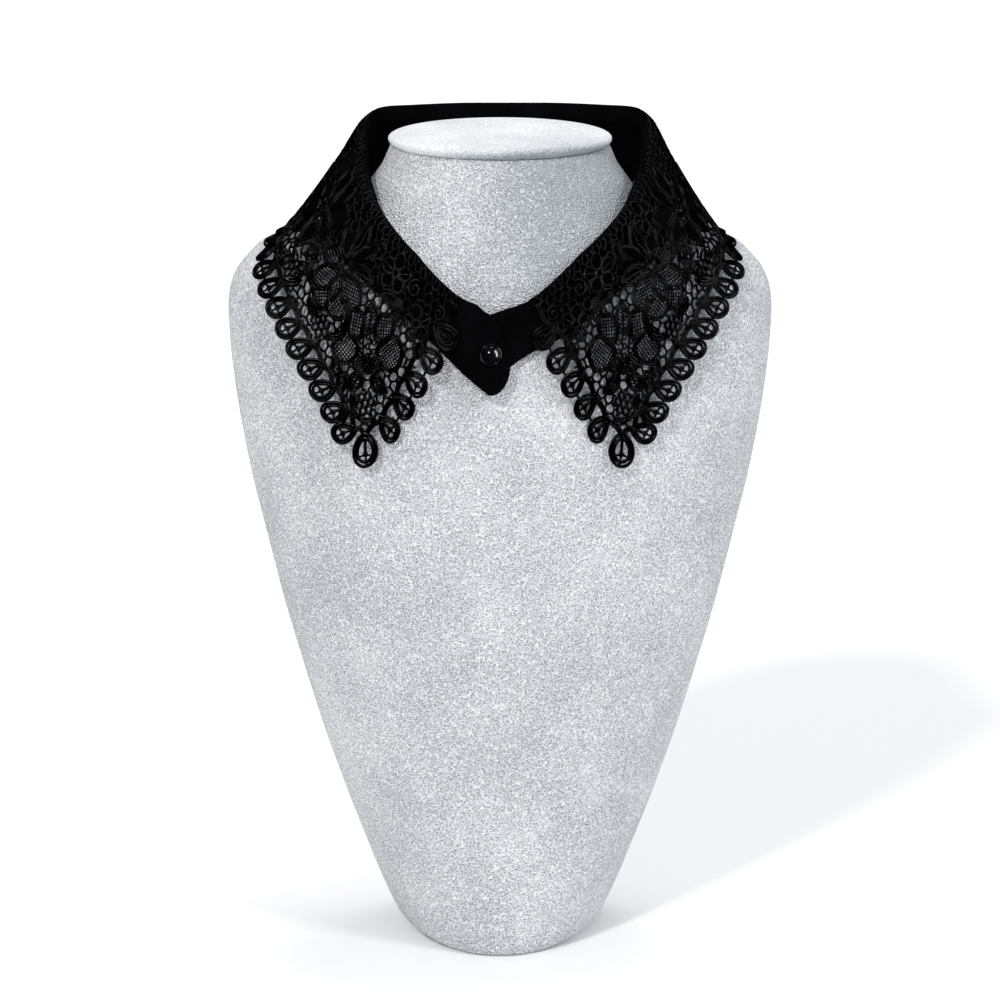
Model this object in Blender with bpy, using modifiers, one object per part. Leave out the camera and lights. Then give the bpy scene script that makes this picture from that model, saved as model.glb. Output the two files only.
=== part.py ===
"""A lace shirt collar with its neckband and button, resting on a limbless display bust.

Origin: middle of the bust's flat underside. +Z is up and -Y is the front. Tables are in millimetres.
"""

import math

import bpy
import numpy as np
from mathutils import Vector
from mathutils.geometry import delaunay_2d_cdt

MM = 0.001
COLLECTION = "lace_collar_on_bust"

# Display bust: height, half width, front y, back y, squareness of the oval
BUST_ROWS = np.array([
    (0.0, 38.5, -51.6, 40.0, 2.00),
    (2.5, 43.5, -53.4, 42.4, 2.00),
    (9.0, 49.2, -54.8, 44.4, 2.00),
    (22.0, 55.4, -56.6, 45.6, 2.00),
    (42.0, 63.3, -59.2, 47.4, 2.00),
    (66.0, 72.3, -62.0, 49.6, 2.00),
    (95.0, 82.2, -65.6, 52.4, 2.00),
    (125.0, 91.2, -69.2, 55.4, 2.00),
    (155.0, 99.7, -72.6, 58.6, 2.00),
    (186.0, 107.2, -75.2, 61.8, 2.00),
    (216.0, 114.2, -75.9, 64.4, 2.00),
    (243.0, 119.2, -75.0, 66.2, 2.00),
    (266.0, 122.4, -73.0, 66.6, 2.00),
    (284.0, 123.9, -70.3, 65.8, 2.00),
    (297.0, 124.2, -67.7, 64.6, 1.95),
    (306.0, 122.8, -65.4, 63.0, 1.90),
    (314.0, 119.2, -62.8, 61.0, 1.85),
    (321.0, 113.2, -59.8, 58.6, 1.80),
    (326.0, 107.5, -57.5, 56.5, 1.80),
    (331.0, 92.0, -55.0, 54.0, 1.80),
    (336.0, 79.0, -52.8, 51.6, 1.85),
    (342.0, 69.0, -50.5, 49.5, 1.90),
    (349.0, 62.2, -48.9, 47.9, 1.95),
    (355.0, 58.0, -47.8, 46.8, 2.00),
    (361.0, 53.6, -47.0, 46.0, 2.00),
    (366.0, 51.3, -46.4, 45.4, 2.00),
    (370.0, 49.6, -46.0, 45.0, 2.00),
])
WIDEST_Y = ((300.0, 370.0), (4.0, 0.0))  # the oval's widest line sits a little behind the neck's axis
BUST_SEGMENTS = 36

# Padded cap on the neck: height, scale of its outline
CAP_HALF_WIDTH = 50.6
CAP_HALF_DEPTH = 46.6
CAP_ROWS = ((370.3, 0.955), (371.1, 0.99), (372.6, 1.0), (374.2, 0.985), (375.3, 0.93), (376.0, 0.62), (376.3, 0.25))

# The collar's own frame is symmetrical, and it leans a little to one side on the neck
LEAN_UP = 0.05  # sideways per millimetre of height, above the level
LEAN_DOWN = 0.02  # the same, below it
LEAN_BACK = 0.02  # and per millimetre towards the back
LEVEL = 320.0

# Fold line of the right half, from centre back to centre front: x, y, z
FOLD_ROWS = np.array([
    (0.0, 54.5, 377.3), (23.7, 53.3, 377.4), (44.6, 47.6, 377.4), (57.5, 36.6, 378.2), (62.3, 21.5, 377.6),
    (63.3, 8.0, 373.0), (62.4, -11.2, 360.5), (59.0, -26.0, 352.1), (54.2, -36.9, 343.4), (45.9, -47.4, 335.0),
    (37.0, -54.9, 326.8), (24.9, -62.0, 317.0), (14.9, -66.4, 310.5), (0.0, -70.0, 305.5),
])
# Lower edge of the neckband, in the same way
BAND_FOOT_ROWS = np.array([
    (0.0, 51.5, 348.5), (24.0, 50.5, 348.5), (45.0, 45.5, 348.5), (58.5, 34.5, 348.0), (65.5, 19.0, 345.5),
    (69.5, 3.0, 341.5), (73.5, -14.0, 336.0), (74.5, -29.5, 330.5), (67.5, -44.5, 323.5), (54.8, -57.0, 314.2),
    (42.4, -63.8, 305.2), (30.2, -69.2, 294.8), (18.0, -72.8, 285.0), (0.0, -76.0, 270.5),
])
# Outer edge of the lace fall, from centre back to its point
HEM_ROWS = np.array([
    (0.0, 75.5, 308.0), (33.0, 73.0, 308.5), (61.5, 62.5, 311.0), (85.0, 43.0, 317.0), (96.5, 19.0, 325.5),
    (101.5, -9.0, 325.5), (104.5, -24.0, 318.5), (101.0, -38.5, 302.5), (92.2, -49.0, 284.8),
    (81.7, -56.5, 266.5), (71.2, -62.5, 249.8), (57.3, -68.5, 220.0),
])
FALL_START = 13.0  # the lace ends this far from the centre front, measured across
SEAM_HALF = 0.15  # half of the gap at the centre-back seam

BAND_WALL = 2.0
BAND_TOP_SHARE = 0.035  # the band's top edge lies this share of its height below the fold line
BAND_TOP_GAIN = 0.07  # and this much less than that at its front ends
BAND_TOP_DIP = 0.06  # the top corner of the buttonhole end is rounded down by this share
BAND_CLEAR = 1.9  # from the bust to the middle of the band's wall
TAB_BACK = -3.5  # where the buttonhole end's corners lie from the centre
TAB_BULGE = 10.9  # how far its rounded tab passes them
UNDER_REACH = 6.0  # how far the button end runs on under it
BAND_END_LIFT = 2.8  # the buttonhole end lies over the button end
UNDER_END_RISE = 7.0  # the end under it is this much narrower
OVER_END_DROP = 2.0  # and the end over it this much wider
BAND_COLUMNS = 40
BAND_ROWS = 7

LACE_WALL = 1.3
LACE_OVER_BAND = 5.4  # from the bust to the middle of the lace, where the band is under it
LACE_ON_BUST = 1.5
ROLL_OUT = 4.0  # how far the lace stands off the fold line below its roll
ROLL_UP = 2.8
ROLL_END = (205.0, 240.0, 0.6)  # from one u to the next the roll's rise lessens by this share
PATTERN_LENGTH = 242.0  # flat length of half the lace, halfway down it
SIDE_DEPTH = 65.5
TURN_U = 142.0  # from here forward the fall deepens to its point
BACK_LESS = 10.5  # the fall is this much shorter round the back
BACK_REACH = 40.0
POINT_GROWTH = 0.00335

PICOT_PITCH = 11.3
FRONT_PITCH = 12.2
FRONT_PICOTS = 5
PICOT_HALF_WIDTH = 5.1
PICOT_HALF_LENGTH = 6.1
PICOT_STAND = 4.0  # from the inner edge line to the middle of a picot
EDGE_INSET = 10.1  # from the outermost points to the inner edge line
FRONT_EDGE = ((12.0, 240.5), (74.0, 234.0))  # v and u at the ends of the front edge's inner line

# Flowers of the lace: u along the fold from centre back, v down from it, radius, turn in degrees
FLOWERS = ((27, 27, 12.5, 0), (79, 27, 12.5, 24), (131, 32, 13, 48), (183, 26, 14.5, 18), (212, 43, 12.5, 40))
# Rings of seven small circles: u, v, radius
ROSETTES = ((53, 35, 4.6), (105, 36, 4.6), (156, 45, 4.6), (182, 49, 4.6), (220, 61, 4.6))
# Cells of the lace ground, in rows set half a cell over; every second one both ways is cut through
CELL_ACROSS = 4.5
CELL_DOWN = 4.0
CELL_HALF = 2.05
CUT_BELOW = 27.0  # above this the neckband lies behind the lace

BUTTON_STAND = 7.9  # from the bust to the button's base
BUTTON_PLACE = (-3.9, 287.5)  # x and z
BUTTON_STEPS = 28
BUTTON_PROFILE = ((0.0, 0.0), (4.2, 0.0), (4.85, 0.5), (4.85, 1.0), (4.3, 1.35), (4.0, 1.3), (3.6, 2.1), (2.5, 2.8),
                  (1.2, 3.15), (0.0, 3.25))


def clear_scene():
    for old in list(bpy.data.objects):
        bpy.data.objects.remove(old, do_unlink=True)
    bpy.context.scene.collection.children.link(bpy.data.collections.new(COLLECTION))


def material(name, colour, roughness):
    """A plain Principled material; the colour is linear."""
    made = bpy.data.materials.new(name)
    made.use_nodes = True
    shader = made.node_tree.nodes["Principled BSDF"]
    shader.inputs["Base Color"].default_value = (*colour, 1.0)
    shader.inputs["Roughness"].default_value = roughness
    made.diffuse_color = (*colour, 1.0)
    return made


def mesh_object(name, points, shapes, coat):
    """Adds one mesh object from points in millimetres and its faces, or its edges where each has two ends."""
    shapes = [tuple(map(int, shape)) for shape in shapes]
    edges = [shape for shape in shapes if len(shape) == 2]
    faces = [shape for shape in shapes if len(shape) > 2]
    mesh = bpy.data.meshes.new(name)
    mesh.from_pydata([tuple(p) for p in np.asarray(points) * MM], edges, faces)
    mesh.update()
    mesh.shade_smooth()
    mesh.materials.append(coat)
    thing = bpy.data.objects.new(name, mesh)
    bpy.data.collections[COLLECTION].objects.link(thing)
    return thing


def thicken(thing, wall):
    solid = thing.modifiers.new("Wall", "SOLIDIFY")
    solid.thickness = wall * MM
    solid.offset = 0.0
    solid.use_even_offset = False
    return thing


def arc_curve(rows):
    """A smooth curve through the rows, as a function of the share of its length from 0 to 1."""
    rows = np.asarray(rows, float)
    ends = np.vstack([2 * rows[0] - rows[1], rows, 2 * rows[-1] - rows[-2]])
    ends[0] = rows[1] * [-1, 1, 1] if abs(rows[0, 0]) < 1e-6 else ends[0]
    dense = []
    for a, b, c, d in zip(ends, ends[1:], ends[2:], ends[3:]):
        s = np.linspace(0, 1, 24, endpoint=False)[:, None]
        dense.append(0.5 * (2 * b + (c - a) * s + (2 * a - 5 * b + 4 * c - d) * s**2
                            + (3 * b - a - 3 * c + d) * s**3))
    dense = np.vstack(dense + [rows[-1:]])
    length = np.concatenate([[0], np.cumsum(np.linalg.norm(np.diff(dense, axis=0), axis=1))])

    def at(share):
        share = np.asarray(share, float)
        inside = np.clip(share, 0, 1) * length[-1]
        found = np.stack([np.interp(inside, length, dense[:, k]) for k in range(3)], axis=-1)
        over = np.maximum(share - 1, 0)[..., None] * length[-1]
        step = (dense[-1] - dense[-4]) / np.linalg.norm(dense[-1] - dense[-4])
        return found + over * step

    at.length = length[-1]
    return at


def bust_share(points):
    """1 on the bust's surface, less inside it: (|x/w|^n + |y/d|^n)^(1/n) of the oval at that height."""
    x, y, z = np.moveaxis(points, -1, 0)
    half, front, back, power = (np.interp(z, BUST_ROWS[:, 0], BUST_ROWS[:, k]) for k in (1, 2, 3, 4))
    middle = np.interp(z, *WIDEST_Y)
    depth = np.where(y < middle, middle - front, back - middle)
    return (np.abs(x / half)**power + np.abs((y - middle) / depth)**power)**(1 / power)


def bust_normal(points):
    """Distance outside the bust, to first order, and the outward direction."""
    steps = np.eye(3) * 0.4
    slope = np.stack([(bust_share(points + s) - bust_share(points - s)) / 0.8 for s in steps], axis=-1)
    size = np.linalg.norm(slope, axis=-1)
    return (bust_share(points) - 1) / size, slope / size[..., None]


def lay_on_bust(points, gap):
    """Moves points out along the bust's normal until they are at least `gap` from it."""
    points = np.array(points, float)
    for _ in range(8):
        away, out = bust_normal(points)
        short = np.maximum(gap - away, 0)
        points = points + out * (short * 0.8)[..., None]
    return points


def seat(points, side):
    """From the right half of the collar's own frame to its place on the neck; side -1 mirrors it."""
    x, y, z = np.moveaxis(points, -1, 0)
    lean = LEAN_UP * np.maximum(z - LEVEL, 0) - LEAN_DOWN * np.maximum(LEVEL - z, 0) + LEAN_BACK * y
    return np.stack([x * side + lean, y, z], axis=-1)


def smooth_step(value):
    value = np.clip(value, 0, 1)
    return value * value * (3 - 2 * value)


def unit(vectors):
    return vectors / np.linalg.norm(vectors, axis=-1, keepdims=True)


FRONT_EDGE_VU = np.array(FRONT_EDGE).T
FOLD = arc_curve(FOLD_ROWS)
BAND_FOOT = arc_curve(BAND_FOOT_ROWS)
HEM = arc_curve(HEM_ROWS)
FOLD_END = 1 - (FALL_START + 4.0) / FOLD.length  # where the lace starts on the fold line


def fold_frame(share):
    """On the fold line: the point, the way up in the band, and the way out of it."""
    point = FOLD(share)
    along = unit(FOLD(np.asarray(share) + 0.004) - FOLD(np.asarray(share) - 0.004))
    up = unit(point - BAND_FOOT(share))
    out = unit(np.cross(up, along))
    return point, up, out


def end_lift(from_front):
    """How far the buttonhole end is raised, by distance from the centre front along the fold."""
    return BAND_END_LIFT * smooth_step((27 - from_front) / 16)


def lace_point(u, v, side):
    """Flat pattern to space: fold point + v down the ruling to the hem, rolled over the band's top edge."""
    share = np.asarray(u, float) / PATTERN_LENGTH
    v = np.asarray(v, float)
    point, up, out = fold_frame(share * FOLD_END)
    down = unit(HEM(share) - point)
    spread = (ROLL_OUT * (1 - np.exp(-v / 1.0)))[..., None]
    end = 1 - ROLL_END[2] * smooth_step((u - ROLL_END[0]) / (ROLL_END[1] - ROLL_END[0]))
    rise = (ROLL_UP * end * np.exp(-v / 2.0))[..., None]
    made = seat(point + down * v[..., None] + out * spread + up * rise, side)
    over = smooth_step((54 - v) / 13)
    made = lay_on_bust(made, LACE_ON_BUST + (LACE_OVER_BAND - LACE_ON_BUST) * over)
    if side < 0:
        from_front = (1 - share * FOLD_END) * FOLD.length
        made = made + bust_normal(made)[1] * (end_lift(from_front) * over)[..., None]
    return made


def lace_depth(u):
    """Flat depth of the fall at u, out to its picots: shorter round the back, then a parabola to the point."""
    u = np.asarray(u, float)
    ahead = np.maximum(u - TURN_U, 0)
    return SIDE_DEPTH - BACK_LESS * smooth_step((TURN_U - u) / BACK_REACH) + POINT_GROWTH * ahead**2


def edge_path():
    """The inner edge line in the flat pattern: along the hem, round the point and up the front edge."""
    u = np.linspace(0, PATTERN_LENGTH - 17.5, 200)
    hem = np.stack([u, lace_depth(u) - EDGE_INSET], axis=-1)
    v = np.linspace(66.0, 8.0, 60)
    front = np.stack([np.interp(v, *FRONT_EDGE_VU), v], axis=-1)
    corner = np.array([PATTERN_LENGTH - 8.5, lace_depth(PATTERN_LENGTH - 8.5) - 15.5])
    s = np.linspace(0, 1, 30)[1:-1, None]
    bend = hem[-1] * (1 - s)**2 + 2 * corner * s * (1 - s) + front[0] * s**2
    return np.vstack([hem, bend, front]), len(hem)


def width_share(v, u):
    """Real length across the pattern for one unit of u."""
    share = v / np.linalg.norm(HEM(u / PATTERN_LENGTH) - FOLD(u / PATTERN_LENGTH * FOLD_END), axis=-1)
    return ((1 - share) * FOLD.length * FOLD_END + share * HEM.length) / PATTERN_LENGTH


def picots():
    """Place, outward direction and size of each picot along the edge path."""
    path, bend_at = edge_path()
    middle = (path[1:] + path[:-1]) / 2
    step = np.diff(path, axis=0) * np.stack([width_share(middle[:, 1], middle[:, 0]), np.ones(len(middle))], axis=-1)
    length = np.concatenate([[0], np.cumsum(np.linalg.norm(step, axis=1))])
    tip = length[bend_at] + 6.5
    first, last = PICOT_PITCH / 2 + SEAM_HALF, tip - 12.4
    hem_count = round((last - first) / PICOT_PITCH) + 1
    front = tip + 12.8 + np.arange(FRONT_PICOTS) * FRONT_PITCH
    places = np.concatenate([np.linspace(first, last, hem_count), [tip], front])
    count = len(places)
    root = np.stack([np.interp(places, length, path[:, k]) for k in (0, 1)], axis=-1)
    ahead = np.stack([np.interp(places + 1.5, length, path[:, k]) - np.interp(places - 1.5, length, path[:, k])
                      for k in (0, 1)], axis=-1)
    across = width_share(root[:, 1], root[:, 0])
    ahead = unit(ahead * np.stack([across, np.ones(count)], axis=-1))
    out = np.stack([-ahead[:, 1], ahead[:, 0]], axis=-1)
    size = np.where(places == tip, 1.28, 1.0)
    return root, ahead, out, size, across


def flat(root, ahead, out, across, local):
    """Points given along and out of the edge, as pattern coordinates."""
    local = np.asarray(local, float)
    moved = local[:, :1] * ahead + local[:, 1:] * out
    return root + moved / [across, 1.0]


def ring(count, first=0.0):
    turn = first + np.arange(count) * 2 * math.pi / count
    return np.stack([np.cos(turn), np.sin(turn)], axis=-1)


def lace_outline():
    """Scalloped outline of the right half: eight points for each picot, then the plain front and fold edges."""
    root, ahead, out, size, across = picots()
    turn = np.radians([-84, -58, -29, 0, 29, 58, 84])
    arc = np.stack([PICOT_HALF_WIDTH * np.sin(turn), PICOT_STAND + PICOT_HALF_LENGTH * np.cos(turn)], axis=-1)
    points = [(SEAM_HALF, lace_depth(0.0) - EDGE_INSET + 3.0)]
    for k in range(len(root)):
        points.extend(flat(root[k], ahead[k], out[k], across[k], arc * size[k]))
        if k + 1 < len(root):
            between = (root[k] + root[k + 1]) / 2
            way = unit(out[k] + out[k + 1])
            points.append(between + way * (3.3 if size[k] * size[k + 1] == 1 else 1.5) / [across[k], 1.0])
    points += [(PATTERN_LENGTH + 0.6, 11.0), (PATTERN_LENGTH + 0.4, 6.0), (PATTERN_LENGTH, 3.2),
               (PATTERN_LENGTH, 1.2), (PATTERN_LENGTH, 0.0)]
    u = np.arange(6, PATTERN_LENGTH - 2, 6.0)[::-1]
    points += list(np.stack([u, np.zeros_like(u)], axis=-1))
    points += [(SEAM_HALF, 0.0), (SEAM_HALF, 1.2), (SEAM_HALF, 3.2)]
    points += [(SEAM_HALF, v) for v in (7.0, 14.0, 23.0, 32.0, 41.0, 50.0)]
    return np.array([tuple(p) for p in points])


def lace_gaps():
    """The larger openings: picot eyes, the triangles between picots, and the gaps round flowers and rosettes."""
    root, ahead, out, size, across = picots()
    gaps = []
    eye = ring(8, math.pi / 8) * [2.9, 3.9] + [0, PICOT_STAND + 0.2]
    for k in range(len(root)):
        gaps.append(flat(root[k], ahead[k], out[k], across[k], eye * size[k]))
    wedge = np.array([(0.0, 1.9), (-1.9, -1.4), (-2.5, -3.6), (0.0, -4.3), (2.5, -3.6), (1.9, -1.4)])
    for k in range(len(root) - 1):
        between = (root[k] + root[k + 1]) / 2
        way = unit(out[k] + out[k + 1])
        gaps.append(flat(between, np.array([way[1], -way[0]]), way, across[k], wedge))
    for u, v in ground_centres():
        reach = [np.hypot((u - a) * width_share(v, u), v - b) - radius for a, b, radius, *_ in FLOWERS + ROSETTES]
        if v > CUT_BELOW and min(reach) > 1.2:
            gaps.append(np.array([u, v]) + ring(6, math.pi / 6) * CELL_HALF / [width_share(v, u), 1.0])
    return gaps


def ground_centres():
    """Every second cell of the ground both ways: a brick lattice, each cell moved a little by two sines."""
    row, column = np.meshgrid(np.arange(1, 26), np.arange(1, 56), indexing="ij")
    u = CELL_ACROSS * (column + 0.5 * (row % 2)) + 0.55 * np.sin(2.4 * column + 1.7 * row)
    v = CELL_DOWN * row + 0.5 * np.sin(1.3 * column + 2.9 * row)
    cut = (row % 2 == 0) & ((column + row // 2) % 2 == 0)
    return np.stack([u[cut], v[cut]], axis=-1)


def inside(points, polygon):
    """Which points lie in the polygon, by the crossings of a ray along u."""
    x, y = points[:, 0][:, None], points[:, 1][:, None]
    a, b = polygon, np.roll(polygon, -1, axis=0)
    crosses = (a[:, 1] > y) != (b[:, 1] > y)
    with np.errstate(divide="ignore", invalid="ignore"):
        at = a[:, 0] + (y - a[:, 1]) * (b[:, 0] - a[:, 0]) / (b[:, 1] - a[:, 1])
    return (crosses & (x < at)).sum(axis=1) % 2 == 1


def nearest(points, others):
    return np.linalg.norm(points[:, None] - others[None], axis=-1).min(axis=1)


def kept_gaps(outline, gaps):
    """Leaves out a gap that comes within a wall's width of the outline or of an earlier gap."""
    kept = []
    border = np.vstack([outline + (np.roll(outline, -1, axis=0) - outline) * s for s in (0, 0.33, 0.66)])
    for gap in gaps:
        if not inside(gap, outline).all() or nearest(gap, border).min() < 0.9 or gap[:, 1].min() < 6:
            continue
        ring_points = np.vstack([gap, (gap + np.roll(gap, -1, axis=0)) / 2])
        if kept and nearest(ring_points, np.vstack(kept)).min() < 1.15:
            continue
        if any(inside(gap, old).any() for old in kept):
            continue
        kept.append(gap)
    return kept


def lace_sheet():
    """Triangles of the pierced flat pattern."""
    outline = lace_outline()
    gaps = kept_gaps(outline, lace_gaps())
    grid = [np.stack(np.meshgrid(np.arange(6, PATTERN_LENGTH - 2, 6.0), [3.2]), axis=-1).reshape(-1, 2),
            np.stack(np.meshgrid(np.arange(3, PATTERN_LENGTH - 2, 6.0), [1.2, 6.8]), axis=-1).reshape(-1, 2),
            np.stack(np.meshgrid(np.arange(7, PATTERN_LENGTH, 9.0), np.arange(14, 100, 8.5)), axis=-1).reshape(-1, 2)]
    grid = np.vstack(grid)
    grid = grid[inside(grid, outline)]
    border = np.vstack([outline] + gaps)
    grid = grid[nearest(grid, border) > np.where(grid[:, 1] < 8, 0.9, 1.6)]
    for gap in gaps:
        grid = grid[~inside(grid, gap)]
    loops = [outline] + gaps
    starts = np.cumsum([0] + [len(loop) for loop in loops])
    points = np.vstack(loops + [grid])
    edges = [(int(s + k), int(s + (k + 1) % len(loop))) for s, loop in zip(starts, loops) for k in range(len(loop))]
    made = delaunay_2d_cdt([Vector(p) for p in points], edges, [], 0, 1e-5, False)
    points = np.array([tuple(p) for p in made[0]])
    faces = np.array([tuple(f) for f in made[2]])
    middle = points[faces].mean(axis=1)
    solid = inside(middle, outline)
    for gap in gaps:
        solid &= ~inside(middle, gap)
    return points, [tuple(f) for f in faces[solid]]


def make_bust(coat):
    turn = np.arange(BUST_SEGMENTS) * 2 * math.pi / BUST_SEGMENTS
    z, half, front, back, power = (BUST_ROWS[:, k][:, None] for k in range(5))
    middle = np.interp(z, *WIDEST_Y)
    c, s = np.cos(turn), np.sin(turn)
    x = half * np.sign(c) * np.abs(c)**(2 / power)
    depth = np.where(s < 0, middle - front, back - middle)
    y = middle + depth * np.sign(s) * np.abs(s)**(2 / power)
    points = np.stack([x, y, z + 0 * x], axis=-1).reshape(-1, 3)
    return mesh_object("display_bust", points, lofted(len(BUST_ROWS), BUST_SEGMENTS), coat)


def lofted(rows, segments):
    """Faces of stacked rings, with a flat face at each end."""
    faces = []
    for r in range(rows - 1):
        for k in range(segments):
            a, b = r * segments + k, r * segments + (k + 1) % segments
            faces.append((a, b, b + segments, a + segments))
    faces.append(tuple(range(segments))[::-1])
    faces.append(tuple(range((rows - 1) * segments, rows * segments)))
    return faces


def make_cap(coat):
    turn = np.arange(BUST_SEGMENTS) * 2 * math.pi / BUST_SEGMENTS
    size = np.array(CAP_ROWS)[:, 1][:, None]
    z = np.array(CAP_ROWS)[:, 0][:, None]
    x = CAP_HALF_WIDTH * size * np.cos(turn)
    y = CAP_HALF_DEPTH * size * np.sin(turn) - 0.5
    points = np.stack([x, y, z + 0 * x], axis=-1).reshape(-1, 3)
    return mesh_object("neck_cap", points, lofted(len(CAP_ROWS), BUST_SEGMENTS), coat)


def band_half(side):
    """Grid of one half of the neckband, centre back to its end: ruled from the fold to the band's foot."""
    v = (0.5 - 0.5 * np.cos(np.linspace(0, math.pi, BAND_ROWS)))[None]
    share = np.linspace(0, 1, BAND_COLUMNS)[:, None]
    past = TAB_BACK + TAB_BULGE * np.maximum(np.sin(math.pi * v**1.05), 0)**0.7 if side < 0 else UNDER_REACH + 0 * v
    share = share + past / FOLD.length * smooth_step((share - 0.86) / 0.14)
    v = v + 0 * share
    point, up, out = fold_frame(share)
    rise = (UNDER_END_RISE if side > 0 else -OVER_END_DROP) * smooth_step((share - 0.8) / 0.16)
    foot = BAND_FOOT(share)
    foot = foot + unit(point - foot) * rise[..., None]
    top = BAND_TOP_SHARE - BAND_TOP_GAIN * smooth_step((share - 0.8) / 0.12)
    if side < 0:
        top = top + BAND_TOP_DIP * smooth_step((share - 0.955) / 0.025)
    made = seat(point + (foot - point) * (top + (1 - top) * v)[..., None], side)
    made = lay_on_bust(made, BAND_CLEAR)
    if side < 0:
        from_front = (1 - share) * FOLD.length
        made = made + bust_normal(made)[1] * end_lift(from_front)[..., None]
    return made


def make_band(coat):
    left = band_half(-1)[::-1]
    right = band_half(1)
    grid = np.concatenate([left, right[1:]])
    columns, rows = grid.shape[:2]
    faces = []
    for c in range(columns - 1):
        for r in range(rows - 1):
            a = c * rows + r
            faces.append((a, a + rows, a + rows + 1, a + 1))
    return thicken(mesh_object("neck_band", grid.reshape(-1, 3), faces, coat), BAND_WALL)


def make_fall(name, side, sheet, coat):
    flat_points, faces = sheet
    points = lace_point(flat_points[:, 0], flat_points[:, 1], side)
    if side < 0:
        faces = [face[::-1] for face in faces]
    return thicken(mesh_object(name, points, faces, coat), LACE_WALL)


def make_button(coat):
    """A domed button: its profile turned round its own Z, which points out of the band at the overlap."""
    place = np.array([[BUTTON_PLACE[0], 0.0, BUTTON_PLACE[1]]])
    base = lay_on_bust(place + [0.0, -70.0, 0.0], BUTTON_STAND)
    out = bust_normal(base)[1][0]
    profile = [(radius, 0.0, height) for radius, height in BUTTON_PROFILE[::-1]]
    edges = [(k, k + 1) for k in range(len(profile) - 1)]
    button = mesh_object("button", profile, edges, coat)
    button.location = Vector(base[0] * MM)
    button.rotation_euler = Vector(out).to_track_quat("Z", "Y").to_euler()
    turn = button.modifiers.new("Turn", "SCREW")
    turn.steps = turn.render_steps = BUTTON_STEPS
    turn.use_merge_vertices = True
    turn.merge_threshold = 0.00001
    return button


def main():
    clear_scene()
    suede = material("Suede", (0.62, 0.64, 0.68), 0.95)
    cloth = material("Band cloth", (0.010, 0.010, 0.011), 0.85)
    lace = material("Lace", (0.012, 0.012, 0.013), 0.75)
    gloss = material("Button", (0.008, 0.008, 0.009), 0.15)
    make_bust(suede)
    make_cap(suede)
    make_band(cloth)
    sheet = lace_sheet()
    make_fall("fall_right", 1, sheet, lace)
    make_fall("fall_left", -1, sheet, lace)
    make_button(gloss)


main()
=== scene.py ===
import itertools
import math
import time

import bpy
import numpy as np
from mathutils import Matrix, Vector
from mathutils.geometry import delaunay_2d_cdt


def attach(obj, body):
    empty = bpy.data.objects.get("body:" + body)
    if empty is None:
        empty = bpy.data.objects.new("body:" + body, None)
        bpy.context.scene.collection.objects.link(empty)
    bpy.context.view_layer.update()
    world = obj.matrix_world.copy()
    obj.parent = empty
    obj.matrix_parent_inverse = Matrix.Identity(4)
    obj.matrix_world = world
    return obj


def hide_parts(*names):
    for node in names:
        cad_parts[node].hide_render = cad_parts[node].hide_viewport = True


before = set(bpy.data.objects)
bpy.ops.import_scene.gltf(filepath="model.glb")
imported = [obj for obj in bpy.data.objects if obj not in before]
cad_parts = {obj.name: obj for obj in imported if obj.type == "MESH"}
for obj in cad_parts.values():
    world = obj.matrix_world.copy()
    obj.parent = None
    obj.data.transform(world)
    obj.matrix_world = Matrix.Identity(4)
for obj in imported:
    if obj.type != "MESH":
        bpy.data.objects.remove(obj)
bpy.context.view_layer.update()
mm = 0.001
began = time.time()


def say(stage):
    print(f"{time.time() - began:6.1f} s  {stage}")


# the collar's and the bust's formulas, in millimetres, as the solids have them
bustRows = np.array([  # height, half width, front y, back y, squareness of the oval
    (0, 38.5, -51.6, 40, 2), (2.5, 43.5, -53.4, 42.4, 2), (9, 49.2, -54.8, 44.4, 2),
    (22, 55.4, -56.6, 45.6, 2), (42, 63.3, -59.2, 47.4, 2), (66, 72.3, -62, 49.6, 2),
    (95, 82.2, -65.6, 52.4, 2), (125, 91.2, -69.2, 55.4, 2), (155, 99.7, -72.6, 58.6, 2),
    (186, 107.2, -75.2, 61.8, 2), (216, 114.2, -75.9, 64.4, 2), (243, 119.2, -75, 66.2, 2),
    (266, 122.4, -73, 66.6, 2), (284, 123.9, -70.3, 65.8, 2), (297, 124.2, -67.7, 64.6, 1.95),
    (306, 122.8, -65.4, 63, 1.9), (314, 119.2, -62.8, 61, 1.85), (321, 113.2, -59.8, 58.6, 1.8),
    (326, 107.5, -57.5, 56.5, 1.8), (331, 92, -55, 54, 1.8), (336, 79, -52.8, 51.6, 1.85),
    (342, 69, -50.5, 49.5, 1.9), (349, 62.2, -48.9, 47.9, 1.95), (355, 58, -47.8, 46.8, 2),
    (361, 53.6, -47, 46, 2), (366, 51.3, -46.4, 45.4, 2), (370, 49.6, -46, 45, 2)])
widestY = ((300.0, 370.0), (4.0, 0.0))
foldRows = ((0, 54.5, 377.3), (23.7, 53.3, 377.4), (44.6, 47.6, 377.4), (57.5, 36.6, 378.2),
            (62.3, 21.5, 377.6), (63.3, 8, 373), (62.4, -11.2, 360.5), (59, -26, 352.1),
            (54.2, -36.9, 343.4), (45.9, -47.4, 335), (37, -54.9, 326.8), (24.9, -62, 317),
            (14.9, -66.4, 310.5), (0, -70, 305.5))
bandFootRows = ((0, 51.5, 348.5), (24, 50.5, 348.5), (45, 45.5, 348.5), (58.5, 34.5, 348),
                (65.5, 19, 345.5), (69.5, 3, 341.5), (73.5, -14, 336), (74.5, -29.5, 330.5),
                (67.5, -44.5, 323.5), (54.8, -57, 314.2), (42.4, -63.8, 305.2), (30.2, -69.2, 294.8),
                (18, -72.8, 285), (0, -76, 270.5))
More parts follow.
